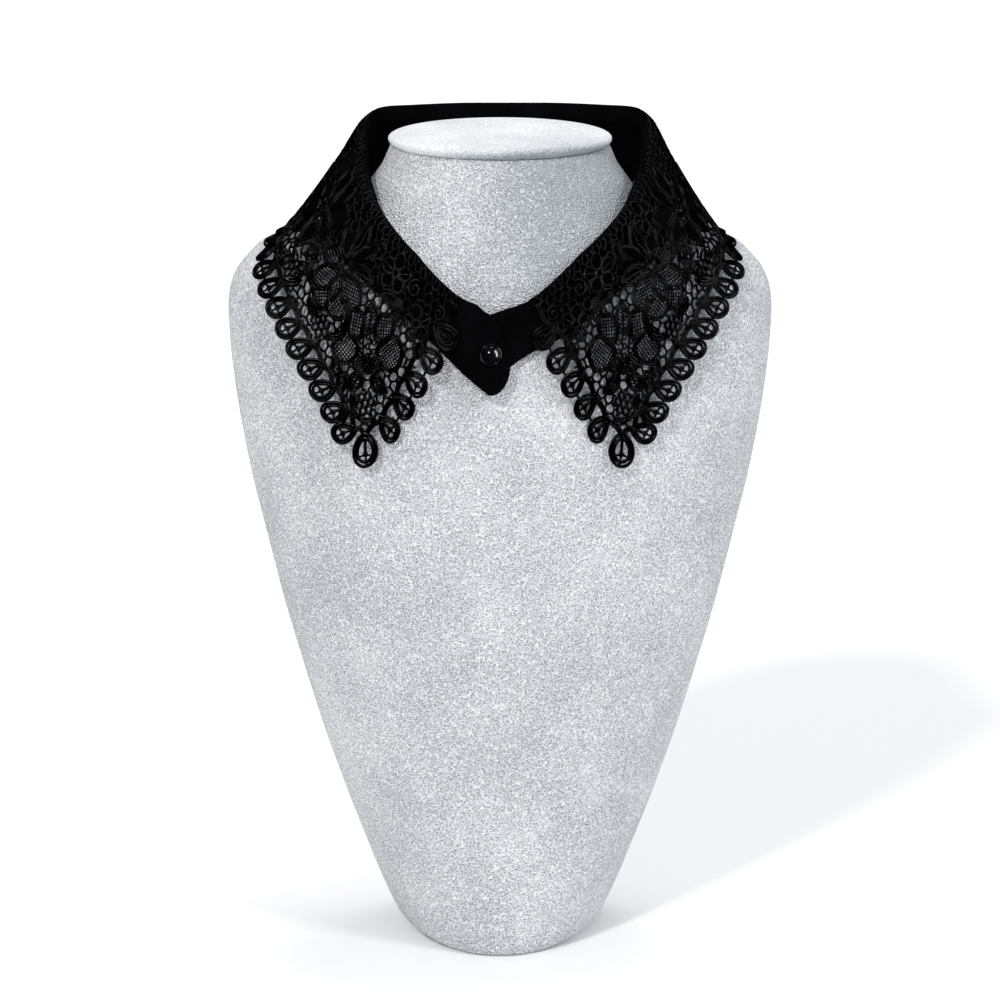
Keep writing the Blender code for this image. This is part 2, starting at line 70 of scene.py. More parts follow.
hemRows = ((0, 75.5, 308), (33, 73, 308.5), (61.5, 62.5, 311), (85, 43, 317), (93.5, 19, 326.3),
           (98.6, -9, 326.6), (103, -24, 319), (101, -38.5, 302.5), (92.2, -49, 284.8),
           (81.7, -56.5, 266.5), (71.2, -62.5, 249.8), (57.3, -68.5, 220))
collar = {
    "leanUp": 0.05, "leanDown": 0.02, "leanBack": 0.02, "level": 320.0,  # it sits a little askew on the neck
    "onBust": 1.5, "overBand": 5.4, "overFrom": 54, "overReach": 13,  # gap under the lace, and over the band
    "rollOut": 4.0, "rollUp": 2.8, "rollLess": 0.6, "rollFrom": 205, "rollReach": 35,  # roll at the fold
    "endLift": 2.8, "endFrom": 27, "endReach": 16,  # the half with the tab rises over the other one
    "long": 242.0, "deep": 65.5, "fallStart": 17.0,  # the flat pattern, and its start beside the centre front
    "backLess": 10.5, "backTurn": 152.0, "backReach": 40.0, "turnU": 142.0, "growth": 0.00335}


def unit(vectors):
    return vectors / np.maximum(np.linalg.norm(vectors, axis=-1, keepdims=True), 1e-12)


def smoothStep(value):
    value = np.clip(value, 0, 1)
    return value * value * (3 - 2 * value)


def lengthAlong(points):
    return np.concatenate([[0], np.cumsum(np.linalg.norm(np.diff(points, axis=0), axis=1))])


# the rows of a table at any keys, in straight lines between its own
def readRows(at, keys, rows):
    return np.stack([np.interp(at, keys, rows[:, k]) for k in range(rows.shape[1])], axis=-1)


# a smooth line through the rows (Catmull-Rom): a cubic in s for each span, by the rows beside it
def smoothLine(rows, steps, before=None):
    rows = np.asarray(rows, float)
    before = 2 * rows[0] - rows[1] if before is None else before
    ends = np.vstack([before, rows, 2 * rows[-1] - rows[-2]])
    s = np.linspace(0, 1, steps, endpoint=False)[:, None]
    spans = [0.5 * (2 * b + (c - a) * s + (2 * a - 5 * b + 4 * c - d) * s**2 + (3 * b - a - 3 * c + d) * s**3)
             for a, b, c, d in zip(ends, ends[1:], ends[2:], ends[3:])]
    return np.vstack([*spans, rows[-1:]])


# a smooth line that is read by the share of its length; past its end it runs straight on
def arcCurve(rows):
    dense = smoothLine(rows, 24, np.array(rows[1]) * [-1, 1, 1])
    length = lengthAlong(dense)

    def at(share):
        share = np.asarray(share, float)
        found = readRows(np.clip(share, 0, 1) * length[-1], length, dense)
        return found + np.maximum(share - 1, 0)[..., None] * length[-1] * unit(dense[-1] - dense[-4])

    at.length = length[-1]
    return at


fold, bandFoot, hem = arcCurve(foldRows), arcCurve(bandFootRows), arcCurve(hemRows)
foldEnd = 1 - collar["fallStart"] / fold.length


# 1 on the bust's surface: (|x/w|^n + |y/d|^n)^(1/n) of the oval at that height
def bustShare(points):
    x, y, z = np.moveaxis(points, -1, 0)
    half, front, back, power = (np.interp(z, bustRows[:, 0], bustRows[:, k]) for k in (1, 2, 3, 4))
    middle = np.interp(z, *widestY)
    depth = np.where(y < middle, middle - front, back - middle)
    return (np.abs(x / half)**power + np.abs((y - middle) / depth)**power)**(1 / power)


# distance outside the bust to first order, (share - 1) / slope, and the outward direction
def bustNormal(points):
    steps = np.eye(3) * 0.4
    slope = np.stack([(bustShare(points + s) - bustShare(points - s)) / 0.8 for s in steps], axis=-1)
    size = np.linalg.norm(slope, axis=-1)
    return (bustShare(points) - 1) / size, slope / size[..., None]


# moves points out along the bust's normal until they are at least the gap from it
def layOnBust(points, gap):
    points = np.array(points, float)
    for _ in range(8):
        away, out = bustNormal(points)
        points = points + out * (np.maximum(gap - away, 0) * 0.8)[..., None]
    return points


# the collar leans a little sideways, by its height and depth; side -1 mirrors the half
def seat(points, side):
    x, y, z = np.moveaxis(points, -1, 0)
    over = z - collar["level"]
    lean = collar["leanUp"] * np.maximum(over, 0) + collar["leanDown"] * np.minimum(over, 0)
    lean = lean + collar["leanBack"] * y
    return np.stack([x * side + lean, y, z], axis=-1)


def foldFrame(share):
    point = fold(share)
    along = unit(fold(np.asarray(share) + 0.004) - fold(np.asarray(share) - 0.004))
    up = unit(point - bandFoot(share))
    return point, up, unit(np.cross(up, along))


def endLift(fromFront):
    return collar["endLift"] * smoothStep((collar["endFrom"] - fromFront) / collar["endReach"])


# flat pattern to space: the fold's point + v down the ruling to the hem + a roll that fades with e^-v
def lacePoint(u, v, side):
    share = u / collar["long"]
    point, up, out = foldFrame(share * foldEnd)
    down = unit(hem(share) - point)
    spread = (collar["rollOut"] * (1 - np.exp(-v)))[..., None]
    eased = collar["rollLess"] * smoothStep((u - collar["rollFrom"]) / collar["rollReach"])
    rise = (collar["rollUp"] * (1 - eased) * np.exp(-v / 2))[..., None]
    over = smoothStep((collar["overFrom"] - v) / collar["overReach"])
    made = seat(point + down * v[..., None] + out * spread + up * rise, side)
    made = layOnBust(made, collar["onBust"] + (collar["overBand"] - collar["onBust"]) * over)
    if side < 0:
        made = made + bustNormal(made)[1] * (endLift((1 - share * foldEnd) * fold.length) * over)[..., None]
    return made


# flat depth of the fall out to its loops: shorter round the back, then a parabola to the point
def laceDepth(u):
    u = np.asarray(u, float)
    return (collar["deep"] - collar["backLess"] * smoothStep((collar["backTurn"] - u) / collar["backReach"])
            + collar["growth"] * np.maximum(u - collar["turnU"], 0)**2)


# real length across the pattern for one unit of u
def widthShare(u, v):
    share = v / np.linalg.norm(hem(u / collar["long"]) - fold(u / collar["long"] * foldEnd), axis=-1)
    return ((1 - share) * fold.length * foldEnd + share * hem.length) / collar["long"]


# the loops of the edge: the line they stand on, with v and u of the front edge's ends, their steps along it,
# and the larger one at the point
edging = {"inset": 10.1, "step": 11.3, "seamGap": 0.15, "beforeTip": 12.4, "tipPast": 6.5, "afterTip": 12.8,
          "frontStep": 12.2, "frontCount": 5, "tipSize": 1.3, "bendFrom": 17.5, "corner": (8.5, 15.5),
          "frontV": (66.0, 8.0), "frontLine": ((12.0, 74.0), (240.5, 234.0))}


# the line that the loops stand on: along the hem, a parabola round the point, straight up the front edge
def edgePath():
    u = np.linspace(0, collar["long"] - edging["bendFrom"], 200)
    along = np.stack([u, laceDepth(u) - edging["inset"]], axis=-1)
    v = np.linspace(*edging["frontV"], 60)
    front = np.stack([np.interp(v, *edging["frontLine"]), v], axis=-1)
    cornerU = collar["long"] - edging["corner"][0]
    corner = np.array([cornerU, laceDepth(cornerU) - edging["corner"][1]])
    s = np.linspace(0, 1, 30)[1:-1, None]
    bend = along[-1] * (1 - s)**2 + 2 * corner * s * (1 - s) + front[0] * s**2
    return np.vstack([along, bend, front]), len(along)


# place, direction along, direction out, size and cloth width of each edge loop
def loopPlaces():
    path, bendAt = edgePath()
    middle = (path[1:] + path[:-1]) / 2
    step = np.diff(path, axis=0) * np.stack([widthShare(*middle.T), np.ones(len(middle))], axis=-1)
    length = np.concatenate([[0], np.cumsum(np.linalg.norm(step, axis=1))])
    tip = length[bendAt] + edging["tipPast"]
    first, last = edging["step"] / 2 + edging["seamGap"], tip - edging["beforeTip"]
    hemPlaces = np.linspace(first, last, round((last - first) / edging["step"]) + 1)
    frontPlaces = tip + edging["afterTip"] + np.arange(edging["frontCount"]) * edging["frontStep"]
    places = np.concatenate([hemPlaces, [tip], frontPlaces])
    root = readRows(places, length, path)
    across = widthShare(*root.T)
    ahead = readRows(places + 1.5, length, path) - readRows(places - 1.5, length, path)
    ahead = unit(ahead * np.stack([across, np.ones(len(places))], axis=-1))
    sizes = np.where(places == tip, edging["tipSize"], 1.0)
    return root, ahead, np.stack([-ahead[:, 1], ahead[:, 0]], axis=-1), sizes, across


# four-sided faces of a grid of points; ring closes each row on itself, and looped the last row on the first
def gridFaces(rows, columns, ring=False, looped=False):
    across = columns if ring else columns - 1
    i, j = np.divmod(np.arange((rows if looped else rows - 1) * across), across)
    here, beyond, nextJ = i * columns, (i + 1) % rows * columns, (j + 1) % columns
    return np.stack([here + j, here + nextJ, beyond + nextJ, beyond + j], axis=-1)


# a grid of points and its normals, read back between its lines; starts and steps are its parameters' own
def surfaceMap(grid, starts, steps, outward):
    normal = unit(np.cross(np.gradient(grid, axis=0), np.gradient(grid, axis=1))) * outward
    top = np.array(grid.shape[:2]) - 1.001

    def at(places):
        place = np.clip((places - starts) / steps, 0, top)
        low = place.astype(int)
        part = (place - low)[..., None]
        i, j, a, b = low[..., 0], low[..., 1], part[..., 0, :], part[..., 1, :]
        mix = [k[i, j] * (1 - a) * (1 - b) + k[i + 1, j] * a * (1 - b) + k[i, j + 1] * (1 - a) * b
               + k[i + 1, j + 1] * a * b for k in (grid, normal)]
        return mix[0], unit(mix[1])

    return at


# the same, with its normals away from the bust, which two places of the surface tell
def outwardMap(grid, starts, steps, places):
    made = surfaceMap(grid, starts, steps, 1.0)
    point, normal = made(np.array([places]))
    return made if (normal * bustNormal(point)[1]).sum() > 0 else surfaceMap(grid, starts, steps, -1.0)


# the same line with its points one step apart along its length
def spaced(path, step, closed=False):
    path = np.vstack([path, path[:1]]) if closed else np.asarray(path, float)
    length = lengthAlong(path)
    count = max(int(round(length[-1] / step)), 6 if closed else 3) + 1
    made = readRows(np.linspace(0, length[-1], count), length, path)
    return made[:-1] if closed else made


def wayAlong(path, closed, axis=0):  # which way a line runs at each of its points
    if closed:
        return unit(np.roll(path, -1, axis=axis) - np.roll(path, 1, axis=axis))
    return unit(np.gradient(path, axis=axis))


# parallel line: each point moved across the line's own direction
def beside(path, offset, closed=False):
    along = wayAlong(path, closed)
    return path + np.stack([-along[:, 1], along[:, 0]], axis=-1) * offset


# all threads of one piece: an oval ring round each point of a line, point + side half cos + up tall sin, for
# whole groups of equal lines; a stroke is its line, half width, height share, lift, and whether it is closed
def threadMesh(strokes, place, sides):
    turn = np.arange(sides) * 2 * math.pi / sides
    c, s = np.cos(turn)[:, None], np.sin(turn)[:, None]
    groups = {}
    for path, half, tall, lift, closed in strokes:
        stroke = (path, np.broadcast_to(half, len(path)), tall, lift)
        groups.setdefault((len(path), closed), []).append(stroke)
    allPoints, allFaces, allUvs, start, total = [], [], [], 0, 0.0
    for (n, closed), members in groups.items():
        path, half, tall, lift = (np.array(part) for part in zip(*members))
        half = half[..., None, None]
        tall, lift = half * tall[:, None, None, None], lift[:, None, None, None]
        point, normal = place(path)
        along = wayAlong(point, closed, 1)
        side = unit(np.cross(normal, along))
        up = unit(np.cross(along, side))
        ring = point[:, :, None] + side[:, :, None] * half * c + up[:, :, None] * (tall * s + lift)
        m, spans = len(members), n if closed else n - 1
        gap = np.linalg.norm(np.roll(point, -1, axis=1) - point, axis=-1)
        length = np.concatenate([np.zeros((m, 1)), np.cumsum(gap, axis=1)], axis=1)
        total += length[:, spans].sum()
        quad = gridFaces(n, sides, True, closed)
        i, j = np.divmod(np.arange(len(quad)), sides)
        across = np.stack([j, j + 1, j + 1, j], axis=-1) / sides
        uv = np.stack([length[:, np.stack([i, i, i + 1, i + 1], axis=-1)],
                       np.broadcast_to(across, (m, *across.shape))], axis=-1)
        if not closed:  # caps of one or two four-sided faces
            k = np.arange(1, sides - 1, 2)
            cap = np.stack([0 * k, k, k + 1, k + 2], axis=-1) % sides
            quad = np.vstack([quad, cap[:, ::-1], cap + (n - 1) * sides])
            uv = np.concatenate([uv, np.zeros((m, 2 * len(cap), 4, 2))], axis=1)
        faces = quad[None] + (np.arange(m) * n * sides + start)[:, None, None]
        start += m * n * sides
        allPoints.append(ring.reshape(-1, 3))
        allFaces.append(faces.reshape(-1, 4))
        allUvs.append(uv.reshape(-1, 2))
    return np.vstack(allPoints), np.vstack(allFaces), np.vstack(allUvs), total


def addMesh(name, points, faces, coat, uvs=None):
    mesh = bpy.data.meshes.new(name)
    mesh.from_pydata((points * mm).tolist(), [], faces)
    if uvs is not None:
        layer = mesh.uv_layers.new(name="threads")
        layer.data.foreach_set("uv", np.asarray(uvs, np.float32).ravel())
    mesh.materials.append(coat)
    mesh.shade_smooth()
    mesh.update()
    piece = bpy.data.objects.new(name, mesh)
    bpy.context.scene.collection.objects.link(piece)
    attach(piece, "root")
    return piece


def addThreads(name, strokes, place, coat, sides=6):
    points, faces, uvs, total = threadMesh(strokes, place, sides)
    print(f"         {name}: {len(strokes)} threads, {total * mm:.2f} m in all, {2 * len(faces)} triangles")
    return addMesh(name, points, faces.tolist(), coat, uvs)


# stacked rings of points, closed by a fan to a point at each end
def addRings(name, rings, ends, coat):
    rows, segments = rings.shape[:2]
    low, high, last = rows * segments, rows * segments + 1, (rows - 1) * segments
    here = np.arange(segments)
    after = (here + 1) % segments
    fans = np.vstack([np.stack([after, here, 0 * here + low], axis=-1),
                      np.stack([last + here, last + after, 0 * here + high], axis=-1)])
    faces = gridFaces(rows, segments, True).tolist() + fans.tolist()
    return addMesh(name, np.vstack([rings.reshape(-1, 3), *ends]), faces, coat)


def colour(code):  # sRGB hex to linear
    parts = np.array([int(code[k:k + 2], 16) / 255 for k in (0, 2, 4)])
    linear = np.where(parts <= 0.04045, parts / 12.92, ((parts + 0.055) / 1.055)**2.4)
    return (*linear.tolist(), 1.0)


def addNode(tree, kind, settings, inputs):  # settings are the node's own, inputs are values or links
    made = tree.nodes.new(kind)
    for key, value in settings.items():
        setattr(made, key, value)
    for key, value in inputs.items():
        if isinstance(value, bpy.types.NodeSocket):
            tree.links.new(value, made.inputs[key])
        else:
            made.inputs[key].default_value = value
    return made


def addMath(tree, operation, *values):
    return addNode(tree, "ShaderNodeMath", {"operation": operation}, dict(enumerate(values))).outputs[0]


def addNoise(tree, values):  # its scale is so many to the metre
    place = addNode(tree, "ShaderNodeTexCoord", {}, {}).outputs["Object"]
    return addNode(tree, "ShaderNodeTexNoise", {}, {"Vector": place, **values}).outputs["Fac"]


def addVectorMath(tree, operation, *values):
    made = addNode(tree, "ShaderNodeVectorMath", {"operation": operation}, dict(enumerate(values)))
    return made.outputs["Value" if operation == "LENGTH" else "Vector"]


def newMaterial(name, values):
    made = bpy.data.materials.new(name)
    made.use_nodes = True
    shader = made.node_tree.nodes["Principled BSDF"]
    for key, value in values.items():
        shader.inputs[key].default_value = value
    return made, made.node_tree, shader


# a colour between two, by a texture's strength between two limits
def tint(tree, shader, factor, span, first, second):
    ramp = addNode(tree, "ShaderNodeValToRGB", {}, {"Fac": factor})
    for element, position, code in zip(ramp.color_ramp.elements, span, (first, second)):
        element.position = position
        element.color = colour(code)
    tree.links.new(ramp.outputs["Color"], shader.inputs["Base Color"])


def emboss(tree, shader, height, strength, distance):
    bump = addNode(tree, "ShaderNodeBump", {}, {"Strength": strength, "Distance": distance, "Height": height})
    tree.links.new(bump.outputs["Normal"], shader.inputs["Normal"])


# brushed suede: a pebbly short nap of 0.8 mm, coarser than real, with broad soft blotches where the pile lies
# the other way, and one darker patch of painted shade, given by its place and its inverse radii
def suedeMaterial(name, dark, light, spec):
    made, tree, shader = newMaterial(name, {"Roughness": 0.95, "Sheen Weight": 0.1, "Sheen Roughness": 0.6,
                                            "Specular IOR Level": 0.1})
    blotch = addNoise(tree, {"Scale": 26, "Detail": 2, "Roughness": 0.5})
    nap = addNoise(tree, {"Scale": 1000 / 0.8, "Detail": 0})
    grain = addMath(tree, "MULTIPLY", nap, spec["napShare"])
    tone = addMath(tree, "MULTIPLY_ADD", blotch, 1 - spec["napShare"], grain)
    # the painted shade: the colour darker by up to its depth near its place, and none beyond its inverse
    # radii
    place = addNode(tree, "ShaderNodeTexCoord", {}, {}).outputs["Object"]
    away = addVectorMath(tree, "SUBTRACT", place, spec["paintedShadeAt"])
    away = addVectorMath(tree, "MULTIPLY", away, spec["paintedShadeInverse"])
    paintedShade = addNode(tree, "ShaderNodeMapRange", {"interpolation_type": "SMOOTHSTEP"},
                   {"Value": addVectorMath(tree, "LENGTH", away), "From Min": 0.3, "From Max": 1.0,
                    "To Min": -spec["paintedShadeDepth"], "To Max": 0.0})
    tint(tree, shader, addMath(tree, "ADD", tone, paintedShade.outputs["Result"]), spec["span"], dark, light)
    emboss(tree, shader, nap, spec["relief"], 0.0022)
    return made


def threadSplit(tree):  # millimetres along and round a thread, or along and down a cloth
    uv = addNode(tree, "ShaderNodeUVMap", {"uv_map": "threads"}, {}).outputs["UV"]
    return addNode(tree, "ShaderNodeSeparateXYZ", {}, {"Vector": uv}).outputs


# lace thread: black cotton cord with thin highlights on its ply, drawn about twice as coarse as real
def cordMaterial(name, first, second, rough, gloss, ply, relief):
    made, tree, shader = newMaterial(name, {"Roughness": rough, "Specular IOR Level": gloss})
    split = threadSplit(tree)
    turn = addMath(tree, "MULTIPLY_ADD", split["X"], 1 / ply, split["Y"])
    tint(tree, shader, addNoise(tree, {"Scale": 420, "Detail": 3}), (0.35, 0.7), first, second)
    wave = addMath(tree, "SINE", addMath(tree, "MULTIPLY", turn, 2 * math.pi))
    emboss(tree, shader, wave, relief, 0.00018)
    return made


# shirting: a plain weave of matt black yarn, drawn at 0.9 mm where the real yarn is near 0.3 mm
def clothMaterial(name, first, second, yarn=0.9):
    made, tree, shader = newMaterial(name, {"Roughness": 0.9, "Specular IOR Level": 0.03})
    split = threadSplit(tree)
    waves = [addMath(tree, "SINE", addMath(tree, "MULTIPLY", split[key], 2 * math.pi / yarn)) for key in "XY"]
    tint(tree, shader, addNoise(tree, {"Scale": 60, "Detail": 5}), (0.35, 0.7), first, second)
    emboss(tree, shader, addMath(tree, "MULTIPLY", *waves), 0.5, 0.0002)
    return made


# moulded button: deep gloss with faint swirls from polishing
def glossMaterial(name, first, second):
    made, tree, shader = newMaterial(name, {"Roughness": 0.12, "Specular IOR Level": 0.26})
    swirl = addNoise(tree, {"Scale": 240, "Detail": 4, "Distortion": 1.5})
    tint(tree, shader, swirl, (0.3, 0.75), first, second)
    emboss(tree, shader, swirl, 0.015, 0.0003)
    return made


# matt pale paper: it takes a soft shadow and gives light back
def paperMaterial(name, first, second):
    made, tree, shader = newMaterial(name, {"Roughness": 0.9, "Specular IOR Level": 0.1})
    tint(tree, shader, addNoise(tree, {"Scale": 3, "Detail": 2}), (0.3, 0.7), first, second)
    return made


# the bust's patch is painted shade: the right side of the neck darker, where the cap's lip and the collar
# shade it
suede = suedeMaterial("GreySuede", "b2b8bd", "fafcff", {
    "span": (0.3, 0.66), "relief": 1.0, "napShare": 0.68,
    "paintedShadeAt": (0.055, -0.045, 0.35), "paintedShadeInverse": (12, 12, 10), "paintedShadeDepth": 0.2})
# the cap's patch is painted shade: the lower lip darker towards the crease, right of the middle
suedeTop = suedeMaterial("PaleSuedeTop", "8e959b", "f9fbfd", {
    "span": (0.0, 0.62), "relief": 0.5, "napShare": 0.5,
    "paintedShadeAt": (0.03, -0.046, 0.37), "paintedShadeInverse": (12, 16, 135), "paintedShadeDepth": 0.5})
# two tones, roughness, gloss, millimetres to a turn of the ply, and its relief: the finer, the more matt
cords = {"BlackCottonCord": ("010101", "030304", 0.18, 0.19, 0.9, 0.14),
         "BlackGroundCord": ("010101", "030304", 0.22, 0.13, 0.9, 0.2),
         "FineBlackThread": ("010101", "030304", 0.4, 0.03, 0.7, 0.3),
         "BlackSewingThread": ("030304", "08080a", 0.5, 0.08, 0.6, 0.5)}
laceCord, laceGround, laceNet, seamThread = (cordMaterial(name, *values) for name, values in cords.items())
shirting = clothMaterial("BlackShirting", "030304", "08080a")
buttonGloss = glossMaterial("BlackMouldedButton", "030304", "08080a")
say("materials")

# the lace pattern of one half, drawn flat: every shape takes its place on a raster of the pattern, and what
# comes later stops at it
raster = {"cell": 0.25, "first": np.array([-5.0, -3.0]), "count": (1060, 460)}  # u and v
cover = np.zeros(raster["count"], int)
threads = {"cord": [], "ground": [], "net": []}
shapeNumbers = itertools.count(1)


def covered(places):
    at = np.clip(((places - raster["first"]) / raster["cell"]).astype(int), 0, np.array(cover.shape) - 1)
    return cover[at[..., 0], at[..., 1]]


def inside(points, polygon):  # by the crossings of a ray along u
    x, y = points[:, 0][:, None], points[:, 1][:, None]
    a, b = polygon, np.roll(polygon, -1, axis=0)
    crosses = (a[:, 1] > y) != (b[:, 1] > y)
    with np.errstate(divide="ignore", invalid="ignore"):
        at = a[:, 0] + (y - a[:, 1]) * (b[:, 0] - a[:, 0]) / (b[:, 1] - a[:, 1])
    return (crosses & (x < at)).sum(axis=1) % 2 == 1


# marks the free cells within a polygon with the next number, which it gives back
def claim(polygon):
    number, cell, first = next(shapeNumbers), raster["cell"], raster["first"]
    low = np.maximum(((polygon.min(axis=0) - first) / cell).astype(int) - 1, 0)
    high = np.minimum(((polygon.max(axis=0) - first) / cell).astype(int) + 2, cover.shape)
    i, j = np.meshgrid(np.arange(low[0], high[0]), np.arange(low[1], high[1]), indexing="ij")
    places = np.stack([i.ravel(), j.ravel()], axis=-1) * cell + first + cell / 2
    part = cover[low[0]:high[0], low[1]:high[1]]
    part[inside(places, polygon).reshape(i.shape) & (part == 0)] = number
    return number


# the stretches of a line where it may run
def stretches(path, free):
    ends = np.flatnonzero(np.diff(np.concatenate([[0], free.astype(int), [0]])))
    return [path[a:b] for a, b in zip(ends[::2], ends[1::2]) if b - a >= 4]


def addStroke(kind, path, step, half, tall=1.0, lift=0.0, closed=False):
    threads[kind].append((spaced(path, step, closed), half, tall, lift, closed))


# half width, height share and lift of the motifs' cords
cordSizes = {"outline": (0.6, 1.15, 0.3), "inner": (0.54, 1.05, 0.2), "vein": (0.55, 1.0, 0.15),
             "arc": (0.68, 1.0, 0.2), "curl": (0.62, 1.0, 0.15)}


# draws a line in the pattern: its places that an earlier shape holds are left out
def draw(kind, path, half, tall=1.0, lift=0.0, closed=False, step=0.9, allowed=(0,)):
    fine = spaced(path, raster["cell"], closed)
    free = np.isin(covered(fine), allowed)
    if closed and free.all():
        addStroke(kind, fine, step, half, tall, lift, True)
        return
    if closed:  # starts the ring at a place that is taken
        first = int(np.argmin(free))
        fine, free = np.roll(fine, -first, axis=0), np.roll(free, -first)
    for part in stretches(fine, free):
        addStroke(kind, part, step, half, tall, lift)


# local millimetres (ahead, down) round a centre, turned by an angle, to the pattern
def toPattern(local, centre, turn=0.0):
    c, s = math.cos(turn), math.sin(turn)
    local = np.asarray(local, float)
    moved = np.stack([local[:, 0] * c - local[:, 1] * s, local[:, 0] * s + local[:, 1] * c], axis=-1)
    return np.asarray(centre) + moved / [float(widthShare(*np.array(centre, float))), 1.0]


# pitch of the threads across a shape, their angles to its axis, half width and lift
fillings = {"net": (1.35, (0.8, 0.8 + math.pi / 2), 0.3, -0.15), "ribs": (1.1, (0.25,), 0.45, 0.0),
            "satin": (0.95, (1.1,), 0.52, 0.0), "veins": (1.3, (0.9,), 0.32, -0.05)}


# threads across a shape in one direction or two, kept where the shape itself shows
def fillLines(number, polygon, heading, pitch, angles, half, lift):
    middle = polygon.mean(axis=0)
    reach = np.linalg.norm(polygon - middle, axis=1).max() + 0.5
    for angle in angles:
        way = np.array([math.cos(heading + angle), math.sin(heading + angle)])
        off = np.array([-way[1], way[0]])
        along = np.arange(-reach, reach, 0.3)
        for shift in np.arange(-reach + 0.37 * pitch, reach, pitch):
            line = middle + off * shift + along[:, None] * way
            for part in stretches(line, covered(line) == number):
                addStroke("net", part, 1.6, half, 1.0, lift)


# a petal or leaf: half width = W sin(pi s^p)^q along an axis that bends evenly from its base
def petalShape(length, half, p, q, bend):
    s = 0.5 - 0.5 * np.cos(np.linspace(0, math.pi, 26))
    heading = bend * (s - 0.35)
    step = np.diff(s, prepend=0) * length
    axis = np.stack([np.cumsum(np.sin(heading) * step), np.cumsum(np.cos(heading) * step)], axis=-1)
    side = np.stack([np.cos(heading), -np.sin(heading)], axis=-1)
    wide = (half * np.sin(math.pi * np.clip(s, 0, 1)**p).clip(0)**q)[:, None]
    return np.vstack([axis + side * wide, (axis - side * wide)[-2:0:-1]]), axis


# an outlined shape with its filling; a doubled outline has a second cord inside the first
def addShape(outline, axis, fill, heading, doubled):
    draw("cord", outline, *cordSizes["outline"], closed=True)
    number = claim(outline)
    if doubled:
        inner = beside(spaced(outline, 0.5, True), 1.12, True)
        draw("cord", inner, *cordSizes["inner"], closed=True, allowed=(number,))
    if fill == "veins":
        draw("cord", axis, *cordSizes["vein"], allowed=(number,))
    fillLines(number, outline, heading, *fillings[fill])


def addPetal(centre, turn, reach, length, half, p, q, bend, fill, doubled=True):
    outline, axis = petalShape(length, half, p, q, bend)
    angle = math.radians(turn)
    outline, axis = (toPattern(k + [0, reach], centre, angle) for k in (outline, axis))
    addShape(outline, axis, fill, angle + math.pi / 2, doubled)


def circle(radius, count=24, first=0.0):
    turn = first + np.arange(count) * 2 * math.pi / count
    return np.stack([np.cos(turn), np.sin(turn)], axis=-1) * radius


def addRing(centre, radius, half=0.5, offset=(0.0, 0.0)):
    path = toPattern(circle(radius) + np.asarray(offset), centre)
    draw("cord", path, half, 1.1, 0.2, closed=True, step=0.75)
    claim(path)


# a band of parallel cords along an arc of a circle, which together hold their own place
def addArc(centre, radius, first, last, count=3, gap=1.35):
    angle = np.radians(np.linspace(first, last, 40))
    rim = np.stack([np.sin(angle), np.cos(angle)], axis=-1)
    for k in range(count):
        draw("cord", toPattern(rim * (radius + (k - (count - 1) / 2) * gap), centre), *cordSizes["arc"])
    edge = count * gap / 2
    claim(toPattern(np.vstack([rim * (radius + edge), rim[::-1] * (radius - edge)]), centre))


# a spiral curl: its radius grows evenly with its turns
def spiral(start, radius, angle):
    s = np.linspace(0, 1, len(angle))[:, None]
    return np.stack([np.cos(angle), np.sin(angle)], axis=-1) * (start + (radius - start) * s)


def addCurl(centre, radius, turns, first, hand):
    path = spiral(0.5, radius, np.radians(first) + hand * np.linspace(0, 1, 60) * turns * 2 * math.pi)
    draw("cord", toPattern(path, centre), *cordSizes["curl"])
    claim(toPattern(circle(radius), centre))


# seven small rings: six round one
def addRosette(centre, radius):
    small = radius * 0.3
    for offset in circle(radius - small - 0.5, 6, 0.3):
        addRing(centre, small, 0.72, offset)
    addRing(centre, small, 0.72)
    claim(toPattern(circle(radius), centre))


# petals of each kind of flower, top ones first: turn, start, length, half width, p, q, bend, filling, doubled
flowerKinds = {
    "fan": ((0, 1.9, 8.0, 2.2, 1.0, 0.8, 0.0, "net", True),
            (-48, 1.9, 10.4, 3.6, 1.15, 0.6, 0.35, "net", True),
            (46, 1.9, 10.8, 3.4, 0.95, 0.7, -0.6, "net", True),
            (-92, 1.9, 9.4, 2.6, 1.0, 0.7, -0.3, "veins", True),
            (90, 1.9, 8.4, 2.4, 1.0, 0.8, 0.3, "ribs", True),
            (-17, 5.8, 8.0, 4.2, 1.2, 0.55, 0.0, "net", True),
            (18, 6.0, 7.4, 4.0, 1.2, 0.55, 0.0, "net", True),
            (140, 1.9, 10.6, 2.6, 0.95, 0.75, 0.5, "ribs", True),
            (180, 1.9, 12.0, 3.0, 0.95, 0.75, 0.0, "veins", True),
            (218, 1.9, 10.6, 2.6, 0.95, 0.75, -0.5, "ribs", True)),
    "wings": ((0, 3.4, 4.0, 1.9, 1.1, 0.6, 0.0, "ribs", False),
              *((turn, 3.4, 4.4, 2.0, 1.1, 0.6, 0.0, "ribs", False) for turn in (-38, 38)),
              *((84 * hand, 3.2, 9.8, 4.9, 1.25, 0.5, -0.3 * hand, "net", True) for hand in (-1, 1)),
              *((138 * hand, 3.2, 8.6, 3.6, 1.15, 0.6, -0.3 * hand, "net", True) for hand in (-1, 1)),
              (180, 3.2, 8.4, 2.6, 0.9, 0.8, 0.0, "veins", True),
              *((22 * hand, 7.4, 6.4, 2.2, 0.9, 0.9, -0.3 * hand, "veins", True) for hand in (-1, 1))),
    "star": tuple((45 * k, 2.6, 9.4 if k % 2 else 8.2, 2.8 if k % 2 else 2.4, 1.15, 0.62, 0.15,
                   "net" if k % 2 else "veins", True) for k in (0, 2, 4, 6, 1, 3, 5, 7)),
    "bud": tuple((72 * k, 1.6, 5.4, 2.5, 1.15, 0.55, 0.1, "veins" if k % 2 else "ribs", False)
                 for k in range(5)),
}
flowerKinds["shade"] = tuple((*petal[:7], "satin", True) for petal in flowerKinds["star"])


